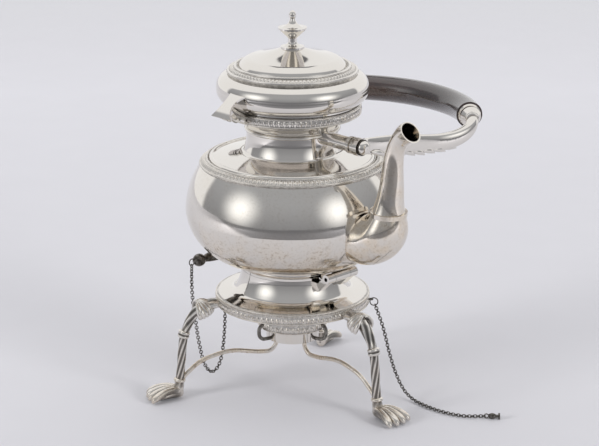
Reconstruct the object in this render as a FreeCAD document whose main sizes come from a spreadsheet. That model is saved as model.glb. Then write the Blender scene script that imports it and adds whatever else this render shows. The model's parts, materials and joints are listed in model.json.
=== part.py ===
import FreeCAD, Part
import math
import os
import Sketcher
from FreeCAD import Placement, Rotation, Vector

# A silver kettle with a swing handle, on a three-legged stand with a spirit lamp.
# Millimetres. +Z is up, the floor is at zero and the origin lies under the kettle's axis.
# +X is the way the spout points. The swing handle lies folded towards +Y, the lid hinge is at -Y.

SIZES = {
    # Sheet silver and the fits between pieces
    "wall": 1.2,
    "seam_lip": 2.0,
    "seat_gap": 0.2,
    "running_gap": 0.05,
    "side_gap": 0.3,
    "band_thickness": 2.0,
    "band_chamfer": 0.8,
    "crown_flat": 0.5,
    # Stand
    "rim_bottom": 84.0,
    "rim_height": 10.7,
    "rim_radius": 69.3,
    "dish_height": 22.3,
    "dish_throat_inset": 5.5,
    "dish_wall_mid_spread": 1.6,
    "dish_wall_mid_drop": 9.0,
    "dish_wall_spread": 5.2,
    "dish_wall_drop": 17.0,
    "dish_fillet_spread": 7.2,
    "dish_fillet_drop": 19.4,
    "dish_flange_spread": 11.0,
    "dish_flange_drop": 21.0,
    # Hinge lugs between kettle and stand
    "hinge_reach": 60.0,
    "hinge_rise": 5.3,
    "lug_radius": 4.2,
    "lug_length": 37.0,
    "kettle_lug_length": 18.4,
    "lug_arm_thickness": 6.0,
    "ear_arm_depth": 8.0,
    "pin_radius": 1.8,
    # Rear hinge pin with its turned handle
    "pin_tip": 1.0,
    "pin_heel_radius": 3.2,
    "pin_swell_radius": 4.6,
    "pin_swell_distance": 44.0,
    "pin_waist_radius": 3.0,
    "pin_waist_distance": 53.8,
    "pin_ball_radius": 5.8,
    "pin_ball_distance": 59.5,
    "pin_end_radius": 1.6,
    "pin_end_distance": 66.0,
    "pin_ring_radius": 3.0,
    "ring_wire": 0.5,
    # Kettle body
    "foot_height": 8.0,
    "foot_radius": 46.0,
    "foot_width": 5.0,
    "foot_waist": 1.8,
    "foot_fillet": 2.0,
    "belly_lower": 47.0,
    "belly_upper": 41.5,
    "belly_radius": 96.0,
    "haunch_radius": 82.0,
    "haunch_rise": 15.6,
    "flank_radius": 92.0,
    "flank_rise": 22.5,
    "seam_radius": 82.3,
    "seam_rise": 5.5,
    "shoulder_radius": 74.5,
    "shoulder_height": 26.5,
    "shoulder_lip_width": 4.4,
    "shoulder_lip_crest": 1.5,
    "shoulder_lip_rise": 3.0,
    "shoulder_edge_rise": 2.0,
    "shoulder_inner_radius": 47.0,
    "shoulder_inner_rise": 6.6,
    "neck_fillet_radius": 44.4,
    "neck_fillet_rise": 7.5,
    "neck_foot_radius": 43.3,
    "neck_foot_rise": 9.6,
    "neck_waist_radius": 41.3,
    "neck_waist_rise": 18.0,
    "neck_radius": 41.0,
    "bead_height": 2.7,
    "bead_width": 1.8,
    "neck_flare": 15.0,
    "flare_mid_radius": 45.5,
    "flare_mid_rise": 9.3,
    "mouth_radius": 57.0,
    "mouth_band_height": 9.0,
    "mouth_band_radius": 60.7,
    # Spout
    "spout_port_radius": 9.0,
    "spout_ring_length": 4.0,
    "spout_ring_width": 1.6,
    # Pivots of the swing handle
    "pivot_drop": 1.0,
    "boss_reach": 78.7,
    "boss_root": 36.0,
    "boss_radius": 6.4,
    "boss_collar_radius": 7.6,
    "boss_collar_length": 3.4,
    "boss_groove_radius": 5.0,
    "boss_groove_length": 4.0,
    "stud_radius": 3.0,
    "eye_thickness": 6.0,
    "eye_radius": 8.0,
    "cap_length": 5.7,
    "cap_radius": 6.3,
    "cap_socket": 3.0,
    # Swing handle
    "bail_reach": 181.0,
    "bail_grip_bend": 116.0,
    "bail_grip_drop": 1.5,
    "grip_half_angle": 39.5,
    "grip_radius": 12.4,
    "grip_end_radius": 12.0,
    "ferrule_length": 13.5,
    "ferrule_lip_radius": 10.4,
    "ferrule_radius": 9.4,
    "ferrule_tail_radius": 6.0,
    # Lid
    "lid_gap": 0.5,
    "bezel_depth": 4.0,
    "bezel_gap": 1.0,
    "lid_edge_radius": 58.5,
    "lid_radius": 67.6,
    "lid_lower": 13.3,
    "lid_upper": 12.5,
    "lid_under_radius": 66.0,
    "lid_under_rise": 5.3,
    "lid_over_radius": 65.6,
    "lid_over_rise": 7.3,
    "lid_step_radius": 57.5,
    "lid_band_rise": 5.6,
    "lid_band_inner": 48.0,
    "dome_height": 16.2,
    "dome_edge_radius": 45.0,
    "dome_edge_rise": 4.8,
    "dome_crest_radius": 39.0,
    "dome_crest_rise": 8.1,
    "dome_mid_radius": 24.0,
    "dome_mid_rise": 11.7,
    "finial_base_radius": 10.5,
    "finial_base_height": 1.6,
    "finial_stem_radius": 3.9,
    "finial_stem_bottom": 5.6,
    "finial_stem_top": 9.0,
    "finial_disc_radius": 12.7,
    "finial_disc_rise": 18.6,
    "finial_disc_edge": 1.4,
    "finial_neck_radius": 2.2,
    "finial_neck_rise": 26.6,
    "finial_ball_radius": 3.0,
    "finial_height": 33.6,
    "finial_stud_radius": 2.5,
    "finial_stud_length": 6.0,
    "nut_width": 5.0,
    "nut_height": 3.0,
    # Lid hinge
    "lid_hinge_reach": 66.0,
    "lid_hinge_drop": 2.5,
    "knuckle_radius": 3.0,
    "lid_pin_radius": 1.2,
    "lid_pin_length": 20.0,
    "lid_knuckle_length": 10.0,
    "tab_thickness": 1.6,
    "tab_root_reach": 62.5,
    "tab_root_rise": 21.5,
    "tab_root_width": 23.0,
    "tab_waist_reach": 80.5,
    "tab_waist_rise": 12.4,
    "tab_waist_width": 13.0,
    "tab_lip_reach": 87.0,
    "tab_lip_rise": 4.0,
    "tab_lip_width": 23.4,
    "tab_web_reach": 76.5,
    "tab_web_rise": 14.0,
    # Legs, each with its paw
    "leg_foot_length": 30.0,
    "sole_trim": 1.0,
    "paw_heel_reach": 105.5,
    "paw_heel_height": 8.5,
    "paw_heel_half_width": 4.6,
    "paw_ball_height": 11.5,
    "paw_ball_half_width": 7.6,
    "paw_toe_height": 9.0,
    "paw_toe_half_width": 10.6,
    "paw_tip_height": 4.0,
    "paw_tip_half_width": 7.0,
    # Lamp and the stretchers that carry it
    "stretcher_radius": 2.0,
    "lamp_floor": 50.0,
    "lamp_cup_height": 11.0,
    "lamp_cup_radius": 24.0,
    "lamp_collar_height": 12.0,
    "lamp_collar_radius": 31.0,
    "lamp_top_rise": 2.5,
    "burner_radius": 7.0,
    "burner_depth": 11.0,
    "burner_height": 8.5,
    "burner_flange": 2.0,
    "wick_gap": 0.2,
    "wick_height": 12.5,
    "wick_depth": 20.0,
    "lamp_handle_reach": 35.0,
    "lamp_handle_radius": 1.7,
    "lamp_handle_top": 5.0,
    # Chains
    "link_length": 4.4,
    "link_width": 3.6,
    "link_wire": 0.85,
    "link_gap": 0.2,
    "eyelet_radius": 1.9,
    "eyelet_wire": 0.55,
    "eyelet_stand_off": 2.1,
    "rear_eyelet_angle": 208.6,
    "rear_eyelet_rise": 3.0,
    "front_eyelet_angle": 38.0,
    "front_eyelet_rise": 4.0,
    "chain_ring_radius": 3.6,
    "chain_ring_out": 1.0,
    "chain_ring_down": 2.2,
    "loose_knob_radius": 2.7,
    "loose_knob_length": 6.5,
    "loose_disc_radius": 2.8,
    "loose_disc_length": 1.6,
    "loose_neck_radius": 1.4,
    "loose_pin_length": 12.0,
}

# Spout, from the belly to the lip: reach beyond the belly, rise above its widest ring,
# lean of the path from level in degrees, half depth and half width.
SPOUT_STATIONS = {
    "root": (-16.0, -7.7, 0.0, 23.5, 24.5),
    "bulb": (4.2, -6.7, 12.2, 22.5, 24.5),
    "elbow": (17.0, 2.4, 43.8, 19.5, 22.5),
    "cheek": (20.7, 11.9, 68.0, 16.4, 19.5),
    "waist": (20.9, 20.5, 85.0, 14.0, 16.0),
    "shaft": (23.5, 39.0, 85.0, 10.8, 12.0),
    "throat": (26.0, 68.0, 80.0, 8.6, 9.0),
    "bend": (31.5, 85.0, 58.0, 8.0, 8.2),
    "lip": (45.0, 96.8, 40.0, 10.2, 10.4),
}

# Swing handle arm, from the pivot to the ferrule: share of the way to the ferrule, offset outwards,
# drop, heading towards the middle in degrees, half height and half thickness.
ARM_STATIONS = {
    "heel": (0.034, 0.3, 0.0, 0.0, 7.0, 2.3),
    "leaf": (0.26, 0.2, 5.0, 0.0, 8.5, 3.4),
    "middle": (0.515, 0.5, 11.5, 0.0, 8.5, 3.6),
    "tail": (0.74, 3.0, 15.5, -8.0, 8.0, 4.2),
    "scroll": (0.89, 7.5, 11.5, 8.0, 7.4, 5.0),
}

# Leg, from the rim to the ankle: reach from the axis, height, lean below level in degrees,
# half thickness and half width.
LEG_STATIONS = {
    "root": (67.5, 87.5, 0.0, 4.8, 10.0),
    "shell": (80.0, 88.0, 12.0, 6.8, 14.0),
    "knee": (89.8, 82.5, 45.0, 5.8, 12.5),
    "calf": (96.6, 73.0, 62.0, 4.6, 8.0),
    "collar": (101.6, 60.0, 76.0, 3.9, 4.7),
    "shin": (103.8, 44.0, 87.0, 3.5, 4.0),
    "ankle": (105.4, 24.0, 86.0, 3.6, 4.0),
    "heel": (107.6, 6.0, 84.0, 4.0, 4.4),
}

# Stretcher, from the lamp to the ankle: distance from the axis and height below the lamp.
STRETCHER_STATIONS = {
    "tip": (15.0, 0.0),
    "hook": (15.6, 7.0),
    "sole": (21.0, 13.0),
    "rise": (33.0, 12.6),
    "crown": (59.0, 8.0),
    "slope": (86.0, 15.5),
    "foot": (101.0, 28.5),
    "end": (107.0, 36.5),
}

LEG_ANGLES = {"front": 0.0, "rear": 120.0, "left": 240.0}
LAMP_HANDLE_ANGLES = {"right": 15.0, "back": 135.0, "left": 255.0}

# Chain routes, by hand, between the ring or eyelet at each end.
REAR_CHAIN_ROUTE = [
    (-60.0, -69.2, 106.0),
    (-59.8, -68.6, 88.0),
    (-59.5, -65.4, 66.0),
    (-59.0, -61.8, 42.0),
    (-58.4, -56.4, 20.0),
    (-57.6, -47.2, 9.4),
    (-56.9, -37.6, 16.5),
    (-56.6, -33.6, 34.0),
    (-56.5, -31.9, 50.0),
    (-56.5, -31.0, 68.0),
]
FRONT_CHAIN_ROUTE = [
    (61.8, 48.2, 75.0),
    (68.6, 48.6, 61.0),
    (75.0, 47.9, 43.5),
    (82.0, 48.7, 25.0),
    (91.5, 49.7, 9.0),
    (103.0, 50.2, 1.9),
    (121.0, 47.2, 1.9),
    (138.5, 46.6, 1.9),
    (154.5, 49.6, 1.9),
    (167.0, 56.0, 1.9),
]
LOOSE_PIN_EYE = (177.5, 66.0)
LOOSE_PIN_ANGLE = 42.0

QUARTER = 90.0
ARC_SHARE = 0.45
RING_POINTS = 16
SQUARENESS = 2.4
GRIP_SHARES = (-1.0, -0.7, -0.35, 0.0, 0.35, 0.7, 1.0)
LINK_EASE = 0.6
LINK_SIDES = 6


class Size:
    """A length that knows both its number and the sheet expression it comes from."""

    def __init__(self, value, text):
        self.value = value
        self.text = text

    def __float__(self):
        return self.value

    def __add__(self, other):
        return Size(self.value + float(other), "(%s + %s)" % (self.text, words(other)))

    def __sub__(self, other):
        return Size(self.value - float(other), "(%s - %s)" % (self.text, words(other)))

    def __mul__(self, share):
        return Size(self.value * float(share), "(%s * %s)" % (self.text, words(share)))

    def __neg__(self):
        return Size(-self.value, "(0 - %s)" % self.text)


def words(amount):
    """The expression of a size, or the number itself."""
    return amount.text if isinstance(amount, Size) else repr(float(amount))


class Sheet:
    """The driving dimensions, one named cell each."""

    def __init__(self, document):
        self.cells = document.addObject("Spreadsheet::Sheet", "Sizes")
        self.row = 0

    def put(self, name, value):
        self.row += 1
        cell = "A%d" % self.row
        self.cells.set(cell, repr(value))
        self.cells.setAlias(cell, name)
        setattr(self, name, Size(value, "Sizes." + name))


doc = FreeCAD.newDocument("spirit_kettle")
s = Sheet(doc)
for size_name, size_value in SIZES.items():
    s.put(size_name, size_value)


def put_stations(prefix, stations, fields):
    """Gives every number of every station its own cell and returns the stations as sizes."""
    rows = []
    for station, numbers in stations.items():
        row = []
        for field, number in zip(fields, numbers):
            name = "%s_%s_%s" % (prefix, station, field)
            s.put(name, number)
            row.append(getattr(s, name))
        rows.append(row)
    return rows


spout_rows = put_stations("spout", SPOUT_STATIONS, ("reach", "rise", "lean", "depth", "width"))
arm_rows = put_stations("arm", ARM_STATIONS, ("share", "out", "drop", "turn", "tall", "thick"))
leg_rows = put_stations("leg", LEG_STATIONS, ("reach", "height", "lean", "thick", "width"))
stretcher_rows = put_stations("stretcher", STRETCHER_STATIONS, ("reach", "drop"))
doc.recompute()

NODES = []


def node(piece, label):
    """Marks an object of the document as one finished piece."""
    piece.Label = label
    NODES.append(piece)
    return piece


def vec(x, y, z):
    return Vector(float(x), float(y), float(z))


def polar(radius, angle, z):
    """A point at a plan angle in degrees from the spout."""
    turn = math.radians(float(angle))
    return Vector(float(radius) * math.cos(turn), float(radius) * math.sin(turn), float(z))


class Via:
    """A corner that is reached by an arc through a middle point."""

    def __init__(self, middle, corner):
        self.middle = middle
        self.corner = corner


def arc_geometry(start, middle, end):
    """An anticlockwise arc and whether it runs from end to start."""
    circle = Part.Circle(Vector(*start, 0), Vector(*middle, 0), Vector(*end, 0))
    centre = circle.Center
    first = math.atan2(start[1] - centre.y, start[0] - centre.x)
    last = math.atan2(end[1] - centre.y, end[0] - centre.x)
    side = (middle[0] - start[0]) * (end[1] - start[1]) - (middle[1] - start[1]) * (end[0] - start[0])
    backwards = side < 0
    if backwards:
        first, last = last, first
    flat = Part.Circle(centre, Vector(0, 0, 1), circle.Radius)
    return Part.ArcOfCircle(flat, first, last), backwards


def pin_point(sketch, geometry, position, point):
    """Ties one sketch point to its two sizes."""
    for axis, kind, zero_line in ((0, "DistanceX", -2), (1, "DistanceY", -1)):
        size = point[axis]
        if isinstance(size, Size):
            rule = Sketcher.Constraint(kind, -1, 1, geometry, position, size.value)
            index = sketch.addConstraint(rule)
            sketch.setExpression("Constraints[%d]" % index, size.text)
        else:
            sketch.addConstraint(Sketcher.Constraint("PointOnObject", geometry, position, zero_line))


def draw(sketch, outline):
    """Draws a closed outline of corners and arcs, every point tied to the sheet."""
    corners = [step.corner if isinstance(step, Via) else step for step in outline]
    ends = []
    for index, step in enumerate(outline):
        start = [float(size) for size in corners[index - 1]]
        end = [float(size) for size in corners[index]]
        if isinstance(step, Via):
            middle = [float(size) for size in step.middle]
            curve, backwards = arc_geometry(start, middle, end)
            edge = sketch.addGeometry(curve, False)
            mark = sketch.addGeometry(Part.Point(Vector(*middle, 0)), True)
            sketch.addConstraint(Sketcher.Constraint("PointOnObject", mark, 1, edge))
            pin_point(sketch, mark, 1, step.middle)
        else:
            edge = sketch.addGeometry(Part.LineSegment(Vector(*start, 0), Vector(*end, 0)), False)
            backwards = False
        ends.append((edge, 2, 1) if backwards else (edge, 1, 2))
    for index, corner in enumerate(corners):
        edge, _, end = ends[index]
        following, start, _ = ends[(index + 1) % len(ends)]
        sketch.addConstraint(Sketcher.Constraint("Coincident", edge, end, following, start))
        pin_point(sketch, edge, end, corner)


def turned(name, outline, place=None):
    """A body turned about its own Z axis from an outline of radius and height."""
    body = doc.addObject("PartDesign::Body", name)
    sketch = body.newObject("Sketcher::SketchObject", name + "_outline")
    plane = [part for part in body.Origin.OriginFeatures if part.Role == "XZ_Plane"][0]
    sketch.AttachmentSupport = [(plane, "")]
    sketch.MapMode = "FlatFace"
    draw(sketch, outline)
    spin = body.newObject("PartDesign::Revolution", name + "_turning")
    spin.Profile = sketch
    spin.ReferenceAxis = (sketch, ["V_Axis"])
    spin.Angle = 360
    if place:
        body.Placement = place
    return body


def rod(name, radius, length, place):
    """A plain cylinder along its own Z axis."""
    piece = doc.addObject("Part::Cylinder", name)
    piece.setExpression("Radius", words(radius))
    piece.setExpression("Height", words(length))
    piece.Placement = place
    return piece


def ring(name, radius, wire, place):
    """A round wire ring about its own Z axis."""
    piece = doc.addObject("Part::Torus", name)
    piece.setExpression("Radius1", words(radius))
    piece.setExpression("Radius2", words(wire))
    piece.Placement = place
    return piece


def cut(name, base, tool):
    piece = doc.addObject("Part::Cut", name)
    piece.Base = base
    piece.Tool = tool
    return piece


def fuse(name, pieces):
    piece = doc.addObject("Part::MultiFuse", name)
    piece.Shapes = pieces
    return piece


def shaped(name, shape):
    """A piece whose shape is worked out from the sheet's sizes."""
    piece = doc.addObject("Part::Feature", name)
    piece.Shape = shape
    return piece


def oval(centre, across, up, half_across, half_up, power=2.0):
    """A closed smooth section; a higher power makes it squarer."""
    points = []
    for step in range(RING_POINTS):
        turn = 2 * math.pi * step / RING_POINTS
        reach = [math.copysign(abs(wave) ** (2 / power), wave) for wave in (math.cos(turn), math.sin(turn))]
        points.append(centre + across * (float(half_across) * reach[0]) + up * (float(half_up) * reach[1]))
    curve = Part.BSplineCurve()
    curve.interpolate(Points=points, PeriodicFlag=True)
    return Part.Wire(curve.toShape())


def slab(corners, axis, half_length):
    """A prism of a flat outline, pushed both ways along an axis."""
    push = axis * float(half_length)
    face = Part.Face(Part.makePolygon([corner - push for corner in corners + corners[:1]]))
    return face.extrude(push * 2)


def barrel(centre, axis, radius, half_length):
    """A cylinder about a centre, along an axis."""
    push = axis * float(half_length)
    return Part.makeCylinder(float(radius), 2 * push.Length, centre - push, axis)


ALONG_X = Rotation(Vector(0, 1, 0), QUARTER)
AGAINST_X = Rotation(Vector(0, 1, 0), -QUARTER)
AGAINST_Y = Rotation(Vector(1, 0, 0), QUARTER)
X_AXIS = Vector(1, 0, 0)
Y_AXIS = Vector(0, 1, 0)
Z_AXIS = Vector(0, 0, 1)

# Heights, stacked from the floor up.
rim_top = s.rim_bottom + s.rim_height
seat = rim_top + s.dish_height
kettle_base = seat + s.seat_gap
foot_top = kettle_base + s.foot_height
widest = foot_top + s.belly_lower
seam = widest + s.belly_upper
shoulder_base = seam + s.seam_rise
neck_root = shoulder_base + s.shoulder_height
flare_base = neck_root + s.bead_height
mouth_base = neck_root + s.neck_flare
mouth_top = mouth_base + s.mouth_band_height
pivot_height = neck_root - s.pivot_drop
hinge_height = seat + s.hinge_rise
lid_base = mouth_top + s.lid_gap
lid_rim_base = lid_base + s.wall
lid_widest = lid_rim_base + s.lid_lower
lid_step = lid_widest + s.lid_upper
dome_base = lid_step + s.lid_band_rise
dome_top = dome_base + s.dome_height
lid_hinge_height = mouth_top - s.lid_hinge_drop


def band(name, radius, base, height, thickness):
    """An applied strip round a wall, with eased outer edges."""
    inner = radius - thickness
    top = base + height
    eased = radius - s.band_chamfer
    outline = [
        (inner, base),
        (eased, base),
        (radius, base + s.band_chamfer),
        (radius, top - s.band_chamfer),
        (eased, top),
        (inner, top),
    ]
    return node(turned(name, outline), name)


def sloped_band(name, outer_radius, outer_height, inner_radius, inner_height):
    """An applied strip on a conical step, proud of it by the band's thickness."""
    run = float(outer_radius) - float(inner_radius)
    rise = float(inner_height) - float(outer_height)
    slope = math.hypot(run, rise)
    out = s.band_thickness * (rise / slope)
    up = s.band_thickness * (run / slope)
    outline = [
        (outer_radius, outer_height),
        (outer_radius + out, outer_height + up),
        (inner_radius + out, inner_height + up),
        (inner_radius, inner_height),
    ]
    return node(turned(name, outline), name)


def make_stand_dish():
    """The coved dish, open at the top for the flame, with a flange and a skirt for its band."""
    wall = s.wall
    bevel = wall * 0.7
    skirt = s.rim_radius - s.band_thickness
    neck = s.foot_radius
    throat = neck - s.dish_throat_inset
    wall_middle = (neck + s.dish_wall_mid_spread, seat - s.dish_wall_mid_drop)
    wall_foot = (neck + s.dish_wall_spread, seat - s.dish_wall_drop)
    fillet = (neck + s.dish_fillet_spread, seat - s.dish_fillet_drop)
    flange = (neck + s.dish_flange_spread, seat - s.dish_flange_drop)
    outer = [
        (throat, seat),
        (neck, seat),
        Via(wall_middle, wall_foot),
        Via(fillet, flange),
        (skirt, rim_top),
        (skirt, s.rim_bottom),
    ]
    inner = [
        (skirt - wall, s.rim_bottom),
        (skirt - wall, rim_top - wall),
        (flange[0], flange[1] - wall),
        Via((fillet[0] - bevel, fillet[1] - bevel), (wall_foot[0] - wall, wall_foot[1])),
        Via((wall_middle[0] - wall, wall_middle[1]), (neck - wall, seat - wall)),
        (throat, seat - wall),
    ]
    node(turned("stand_dish", outer + inner), "stand_dish")
    band("stand_band", s.rim_radius, s.rim_bottom, s.rim_height, s.band_thickness)
    form = [(0, s.rim_bottom), (s.rim_radius, s.rim_bottom), (s.rim_radius, rim_top), (skirt, rim_top), flange]
    form += [Via(fillet, wall_foot), Via(wall_middle, (neck, seat)), (0, seat)]
    return turned("dish_form", form)


def kettle_outline(start):
    """The outside of the kettle from the foot up to the mouth."""
    haunch = (s.haunch_radius, foot_top + s.haunch_rise)
    flank = (s.flank_radius, widest + s.flank_rise)
    crest = (s.shoulder_radius - s.shoulder_lip_crest, shoulder_base + s.shoulder_lip_rise)
    edge = (s.shoulder_radius - s.shoulder_lip_width, shoulder_base + s.shoulder_edge_rise)
    fillet = (s.neck_fillet_radius, shoulder_base + s.neck_fillet_rise)
    waist = (s.neck_waist_radius, shoulder_base + s.neck_waist_rise)
    belly = [
        (s.foot_radius, foot_top),
        Via(haunch, (s.belly_radius, widest)),
        Via(flank, (s.seam_radius, seam)),
        (s.shoulder_radius, shoulder_base),
    ]
    shoulder = [
        (s.shoulder_radius, shoulder_base),
        Via(crest, edge),
        (s.shoulder_inner_radius, shoulder_base + s.shoulder_inner_rise),
        Via(fillet, (s.neck_foot_radius, shoulder_base + s.neck_foot_rise)),
        Via(waist, (s.neck_radius, neck_root)),
    ]
    bead = Via((s.neck_radius + s.bead_width, neck_root + s.bead_height * 0.5), (s.neck_radius, flare_base))
    flare = Via((s.flare_mid_radius, neck_root + s.flare_mid_rise), (s.mouth_radius, mouth_base))
    return {"belly": belly, "shoulder": shoulder, "neck": [bead, flare]}[start]


def make_kettle_shells():
    """The raised belly, the shoulder and the neck, each a thin shell, and the trims on them."""
    wall = s.wall
    bevel = wall * 0.7
    lip = s.shoulder_radius - s.seam_lip
    belly = kettle_outline("belly") + [
        (lip, shoulder_base),
        (lip, shoulder_base - wall),
        (s.shoulder_radius - bevel, shoulder_base - wall),
        (s.seam_radius - wall, seam - bevel),
        Via((s.flank_radius - wall, widest + s.flank_rise), (s.belly_radius - wall, widest)),
        Via((s.haunch_radius - bevel, foot_top + s.haunch_rise + bevel), (s.foot_radius, foot_top + wall)),
        (0, foot_top + wall),
        (0, foot_top),
    ]
    port_place = Placement(vec(0, 0, widest + spout_rows[0][1]), ALONG_X)
    port = rod("spout_port", s.spout_port_radius, s.belly_radius + s.wall, port_place)
    node(cut("kettle_belly", turned("belly_shell", belly), port), "kettle_belly")

    foot_height = shoulder_base + s.neck_foot_rise
    fillet_height = shoulder_base + s.neck_fillet_rise - bevel
    shoulder = kettle_outline("shoulder") + [
        (s.neck_radius - wall, neck_root),
        Via((s.neck_waist_radius - wall, shoulder_base + s.neck_waist_rise), (s.neck_foot_radius - wall, foot_height)),
        Via((s.neck_fillet_radius - bevel, fillet_height),
            (s.shoulder_inner_radius, shoulder_base + s.shoulder_inner_rise - wall)),
        (s.shoulder_radius - s.shoulder_lip_width, shoulder_base + s.shoulder_edge_rise - wall),
        (lip, shoulder_base),
    ]
    node(turned("kettle_shoulder", shoulder), "kettle_shoulder")

    neck = [
        (s.neck_radius - wall, neck_root),
        (s.neck_radius, neck_root),
        (s.neck_radius, flare_base),
        kettle_outline("neck")[1],
        (s.mouth_radius, mouth_top),
        (s.mouth_radius - wall, mouth_top),
        (s.mouth_radius - wall, mouth_base + bevel),
        Via(
            (s.flare_mid_radius - bevel, neck_root + s.flare_mid_rise + bevel),
            (s.neck_radius - wall, flare_base),
        ),
    ]
    node(turned("kettle_neck", neck), "kettle_neck")
    bead = [(s.neck_radius, neck_root), kettle_outline("neck")[0]]
    node(turned("neck_bead", bead), "neck_bead")
    thickness = s.mouth_band_radius - s.mouth_radius
    band("neck_band", s.mouth_band_radius, mouth_base, s.mouth_band_height, thickness)
    sloped_band("shoulder_band", s.seam_radius, seam, s.shoulder_radius, shoulder_base)

    waist = s.foot_radius - s.foot_waist
    foot_inner = s.foot_radius - s.foot_width
    foot = [
        (foot_inner, kettle_base),
        (s.foot_radius, kettle_base),
        (s.foot_radius, kettle_base + s.foot_fillet),
        Via((waist, kettle_base + s.foot_height * 0.5), (s.foot_radius, foot_top - s.foot_fillet * 0.5)),
        (s.foot_radius, foot_top),
        (foot_inner, foot_top),
    ]
    node(turned("kettle_foot", foot), "kettle_foot")
    form = [(0, kettle_base), (s.foot_radius, kettle_base)] + kettle_outline("belly")
    form += kettle_outline("shoulder")[1:] + kettle_outline("neck")
    form += [(s.mouth_radius, mouth_top), (0, mouth_top)]
    return turned("kettle_form", form)


def make_lugs(dish_form, kettle_form):
    """The three-part hinge eyes at the front and the rear, bored for the pins."""
    bore_radius = s.pin_radius + s.running_gap
    half_kettle = s.kettle_lug_length * 0.5
    half_stand = s.lug_length * 0.5
    ear_inner = half_kettle + s.side_gap
    ear_half = (half_stand - ear_inner) * 0.5
    ear_middle = ear_inner + ear_half
    for name, side in (("front", 1), ("rear", -1)):
        axis_x = s.hinge_reach * side
        centre = vec(axis_x, 0, hinge_height)
        bore = barrel(centre, Y_AXIS, bore_radius, s.lug_length)
        ears = []
        for direction in (1, -1):
            middle = vec(axis_x, ear_middle * direction, hinge_height)
            eye = barrel(middle, Y_AXIS, s.lug_radius, ear_half)
            outer = X_AXIS * (float(s.lug_radius) * side)
            tail = vec((s.foot_radius - s.dish_throat_inset) * side, ear_middle * direction, seat - s.side_gap)
            under = vec(s.foot_radius * side, ear_middle * direction, seat - s.side_gap) + outer
            low = Z_AXIS * float(s.ear_arm_depth)
            arm = slab([middle + outer, middle - outer, under, tail, tail - low, under - low], Y_AXIS, ear_half)
            ears.append(eye.fuse(arm).cut(dish_form.Shape).cut(bore).removeSplitter())
        lugs = shaped(name + "_stand_lugs", Part.makeCompound([ear for pair in ears for ear in pair.Solids]))
        node(lugs, name + "_stand_lugs")

        eye = barrel(centre, Y_AXIS, s.lug_radius, half_kettle)
        low = Z_AXIS * (float(s.hinge_rise) - 2 * float(s.seat_gap))
        high = Z_AXIS * float(s.lug_radius)
        inward = X_AXIS * (float(s.foot_radius) - float(s.hinge_reach) - float(s.lug_arm_thickness)) * side
        arm = slab([centre - low, centre + high, centre + high + inward, centre - low + inward],
                   Y_AXIS, half_kettle)
        lug = eye.fuse(arm).cut(kettle_form.Shape).cut(bore).removeSplitter()
        node(shaped(name + "_kettle_lug", lug.Solids[0]), name + "_kettle_lug")


def make_rear_pin():
    """The hinge pin with its turned handle, ball and chain ring."""
    heel = s.lug_length * 0.5 + s.side_gap
    tip = s.lug_length * 0.5 + s.pin_tip
    ball_back = s.pin_ball_distance
    outline = [
        (0, -tip),
        (s.pin_radius, -tip),
        (s.pin_radius, heel),
        (s.pin_heel_radius, heel),
        Via((s.pin_swell_radius, s.pin_swell_distance), (s.pin_waist_radius, s.pin_waist_distance)),
        Via((s.pin_ball_radius, ball_back), (s.pin_end_radius, s.pin_end_distance - s.ring_wire)),
        (s.pin_end_radius, s.pin_end_distance),
        (0, s.pin_end_distance),
    ]
    place = Placement(vec(-s.hinge_reach, 0, hinge_height), AGAINST_Y)
    shaft = turned("pin_shaft", outline, place)
    eye_place = Placement(pin_ring_centre(), ALONG_X)
    node(fuse("rear_pin", [shaft, ring("pin_ring", s.pin_ring_radius, s.ring_wire, eye_place)]), "rear_pin")


def pin_ring_centre():
    return vec(-s.hinge_reach, -(s.pin_end_distance + s.pin_ring_radius - s.ring_wire), hinge_height)


def spout_loft(inset, extra):
    """The spout's skin, drawn in by an inset, its last section pushed out by an extra."""
    sections = []
    for reach, rise, lean, depth, width in spout_rows:
        turn = math.radians(float(lean))
        heading = Vector(math.cos(turn), 0, math.sin(turn))
        across = Vector(-math.sin(turn), 0, math.cos(turn))
        centre = vec(s.belly_radius + reach, 0, widest + rise)
        sections.append((centre, heading, across, float(depth) - inset, float(width) - inset))
    wires = [oval(centre, across, Y_AXIS, deep, wide) for centre, _, across, deep, wide in sections]
    centre, heading, across, deep, wide = sections[-1]
    if extra:
        wires[-1] = oval(centre + heading * extra, across, Y_AXIS, deep, wide)
    return Part.makeLoft(wires, True, False)


def make_spout(kettle_form):
    """The hollow spout with its full bulb, flared lip and the moulding round its waist."""
    outer = spout_loft(0.0, 0.0)
    inner = spout_loft(float(s.wall), float(s.wall) * 0.5)
    spout = outer.cut(inner).cut(kettle_form.Shape)
    largest = max(spout.Solids, key=lambda solid: solid.Volume)
    node(shaped("spout", largest), "spout")

    reach, rise, lean, depth, width = spout_rows[list(SPOUT_STATIONS).index("waist")]
    turn = math.radians(float(lean))
    heading = Vector(math.cos(turn), 0, math.sin(turn))
    across = Vector(-math.sin(turn), 0, math.cos(turn))
    centre = vec(s.belly_radius + reach, 0, widest + rise)
    proud = s.spout_ring_width
    foot = centre - heading * (float(s.spout_ring_length) * 0.5)
    edge = oval(foot, across, Y_AXIS, depth + proud, width + proud)
    collar = Part.Face(edge).extrude(heading * float(s.spout_ring_length))
    moulding = collar.cut(outer)
    node(shaped("spout_ring", max(moulding.Solids, key=lambda solid: solid.Volume)), "spout_ring")


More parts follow.
